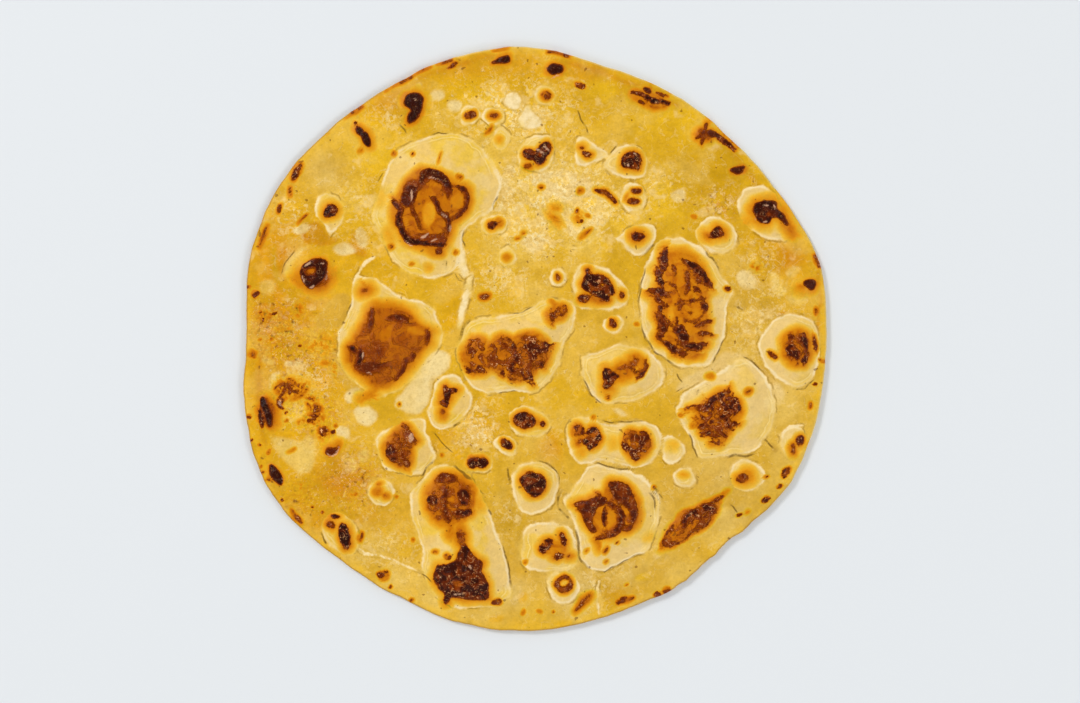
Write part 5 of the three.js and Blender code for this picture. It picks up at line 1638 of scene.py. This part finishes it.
def brownLook(colour, at, noise):
    # Amber bed, creased where it is thick
    uneven = swing(noise["fine"], 0.5, noise["folds"])
    islands = ramp(uneven, 0.42, 0.62)
    hollows = ramp(uneven, 0.52, 0.34)
    pleat = contour(noise["pleats"], 0.5, 0.05)
    sway = grown(islands, -0.08, grown(hollows, 0.14, times(pleat, 0.08)))
    bed = grown(times(sway, ramp(at["toast"], 0.28, 0.44)), grown(at["grit"], 0.8, 0.3), at["toast"])
    faint = times(swing(noise["fine"], 0.3), ramp(at["toast"], 0.0, 0.3))
    bed = grown(faint, grown(at["grit"], 0.7, 0.4), bed)
    grains = ramp(swing(noise["crumb"], 0.5, noise["fine"]), 0.38, 0.62, 0.3, 0.8)
    bed = sums("MAXIMUM", bed, times(grains, at["scorched"]))

    # Dark places, broken up by the crust's grain
    ragged = times(swing(noise["grain"], 1.0), grown(at["grit"], 1.5, 0.1))
    ragged = grown(swing(noise["fine"], 1.0), grown(at["grit"], 1.6, 0.25), ragged)
    darkMask = ramp(sums("ADD", at["dark"], ragged), -0.5, 0.5, 1.0, 0.0)
    thin = grown(ramp(noise["fine"], 0.5, 0.66), 0.16, times(islands, 0.34))
    deep = sums("SUBTRACT", at["burn"], times(thin, at["grit"]))
    burn = blend(darkMask, bed, sums("MAXIMUM", deep, times(bed, 0.8)))
    colour = tint(ramp(burn, 0.0, 0.1), colour, browning(burn), "DARKEN")

    # Painted highlights on the crust's folds and grains, and the painted glints drawn on it
    charred = ramp(burn, 0.46, 0.66)
    paintedSparkle = sums("MAXIMUM", ramp(noise["grain"], 0.6, 0.68), contour(noise["pleats"], 0.61, 0.025))
    paintedSparkle = times(paintedSparkle, charred, at["grit"], ramp(noise["fine"], 0.4, 0.54))
    colour = tint(paintedSparkle, colour, "paintedSparkle")
    # Glint strokes painted as highlights
    paintedGleam = ramp(swing(noise["grain"], 0.8, at["paintedGlint"]), -0.1, 0.3, 0.7, 0.0)
    return tint(paintedGleam, colour, "paintedGlint"), charred


def finishCrust():
    shader = tree.nodes["Principled BSDF"]
    names = ("skin", "toast", "dark", "burn", "grit", "paintedGlint", "seam", "seamRun", "flaky", "crumbly",
             "scorched", "edge")
    at = {name: field(name) for name in names}
    at["loose"] = sums("MAXIMUM", at["flaky"], at["crumbly"])
    where = {"straight": crustPlace()}
    for name, push in stirs.items():
        where[name] = stirred(where["straight"], *push)
    noise = {name: cloud(where[kind], size, detail) for name, (kind, size, detail) in noiseKinds.items()}
    apart = tree.nodes.new("ShaderNodeSeparateXYZ")
    tree.links.new(where["straight"], apart.inputs[0])
    at["east"] = apart.outputs["X"]
    at["north"] = apart.outputs["Y"]
    colour, flakeMask = sheetLook(at, noise)
    colour = skinLook(colour, at, noise)
    colour = rimLook(colour, at, noise)
    colour, charred = brownLook(colour, at, noise)

    # Stray specks, and seams darkened partly in their own colour and partly with painted crease shade, then
    # a fine grain over all
    colour = tint(ramp(noise["dots"], 0.8, 0.84, 0.0, 0.6), colour, "speck")
    line = ramp(sums("ABSOLUTE", at["seam"]), 0.5, 1.5, 1.0, 0.0)
    colour = tint(times(line, at["seamRun"], ramp(noise["fine"], 0.35, 0.55, 0.25, 0.75)), colour, "seam")
    coarse = grown(times(charred, at["grit"]), 0.35, grown(at["loose"], 0.35, 0.2))
    speckle = times(swing(noise["grain"], 1.0), coarse)
    colour = shade(colour, sums("ADD", swing(noise["fine"], 0.3, 1.0), speckle))
    tree.links.new(colour, shader.inputs["Base Color"])

    gloss = ramp(at["skin"], -0.3, 0.6, crustLook["sheetGloss"], crustLook["skinGloss"])
    gloss = swing(noise["fine"], 0.25, gloss)
    tree.links.new(blend(charred, gloss, crustLook["charGloss"]), shader.inputs["Roughness"])
    shader.inputs["Specular IOR Level"].default_value = crustLook["specular"]

    # Fine relief: dough grain, lifted flakes, folded and gritty char
    relief = grown(noise["fine"], crustLook["fineRelief"], times(flakeMask, crustLook["flakeRelief"]))
    scattered = grown(at["loose"], crustLook["looseRelief"], crustLook["grainRelief"])
    relief = grown(noise["grain"], grown(charred, crustLook["charGrain"], scattered), relief)
    relief = grown(times(noise["folds"], charred), crustLook["charFolds"], relief)
    bump = tree.nodes.new("ShaderNodeBump")
    bump.inputs["Distance"].default_value = mm
    tree.links.new(relief, bump.inputs["Height"])
    tree.links.new(bump.outputs[0], shader.inputs["Normal"])
    print("crust finished:", len(tree.nodes), "nodes")


# Stage: plain pale floor, soft light from both sides, camera straight above
studio = {
    "floorSide": 3.0,
    "floorColour": (227, 231, 234),
    "floorRoughness": 0.8,
    "skyOverhead": 0.34,     # brighter to the sides, so that char catches light and flat dough doesn't haze
    "skySides": 0.77,
    "sidesUpTo": 0.45,       # height of a direction, 1 being straight up
    "overheadFrom": 0.95,
    "softboxes": [("key", (-2.2, 1.8, 2.2), 0.7, 59.0), ("fill", (2.3, -0.6, 2.0), 0.8, 19.0),
                  ("rear", (0.4, -2.6, 2.0), 0.8, 13.0)],
    "lens": 50.0,
    "sensor": 36.0,
    "viewWidth": 0.3899,     # width of floor that the frame takes in
    "viewMiddle": (0.0018, -0.0046, 0.0035),
}


def layFloor():
    half = studio["floorSide"] / 2
    mesh = bpy.data.meshes.new("floor")
    corners = [(-half, -half, 0), (half, -half, 0), (half, half, 0), (-half, half, 0)]
    mesh.from_pydata(corners, [], [(0, 1, 2, 3)])
    floor = bpy.data.objects.new("floor", mesh)
    bpy.context.scene.collection.objects.link(floor)
    material = bpy.data.materials.new("pale floor")
    material.use_nodes = True
    shader = material.node_tree.nodes["Principled BSDF"]
    shader.inputs["Base Color"].default_value = linear(studio["floorColour"])
    shader.inputs["Roughness"].default_value = studio["floorRoughness"]
    mesh.materials.append(material)


def hangLights():
    scene = bpy.context.scene
    scene.view_settings.view_transform = "Standard"
    world = bpy.data.worlds.new("soft room")
    world.use_nodes = True
    room = world.node_tree
    direction = room.nodes.new("ShaderNodeTexCoord")
    upright = room.nodes.new("ShaderNodeSeparateXYZ")
    room.links.new(direction.outputs["Generated"], upright.inputs[0])
    strength = room.nodes.new("ShaderNodeMapRange")
    room.links.new(upright.outputs["Z"], strength.inputs["Value"])
    strength.inputs["From Min"].default_value = studio["sidesUpTo"]
    strength.inputs["From Max"].default_value = studio["overheadFrom"]
    strength.inputs["To Min"].default_value = studio["skySides"]
    strength.inputs["To Max"].default_value = studio["skyOverhead"]
    room.links.new(strength.outputs[0], room.nodes["Background"].inputs["Strength"])
    room.nodes["Background"].inputs["Color"].default_value = (1, 1, 1, 1)
    scene.world = world
    for name, spot, side, power in studio["softboxes"]:
        light = bpy.data.lights.new(name, "AREA")
        light.size = side
        light.energy = power
        lamp = bpy.data.objects.new(name, light)
        lamp.location = spot
        lamp.rotation_euler = (-lamp.location).to_track_quat("-Z", "Y").to_euler()
        scene.collection.objects.link(lamp)


def placeCamera():
    lens = bpy.data.cameras.new("camera")
    lens.lens = studio["lens"]
    lens.sensor_width = studio["sensor"]
    camera = bpy.data.objects.new("camera", lens)
    away = studio["viewWidth"] * studio["lens"] / studio["sensor"]
    x, y, z = studio["viewMiddle"]
    camera.location = (x, y, z + away)
    bpy.context.scene.collection.objects.link(camera)
    bpy.context.scene.camera = camera


placeCamera()
layFloor()
hangLights()
print("stage set")
bread = rollBread()
finishCrust()
bread.data.materials.append(dough)
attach(bread, "root")
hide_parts("paratha")
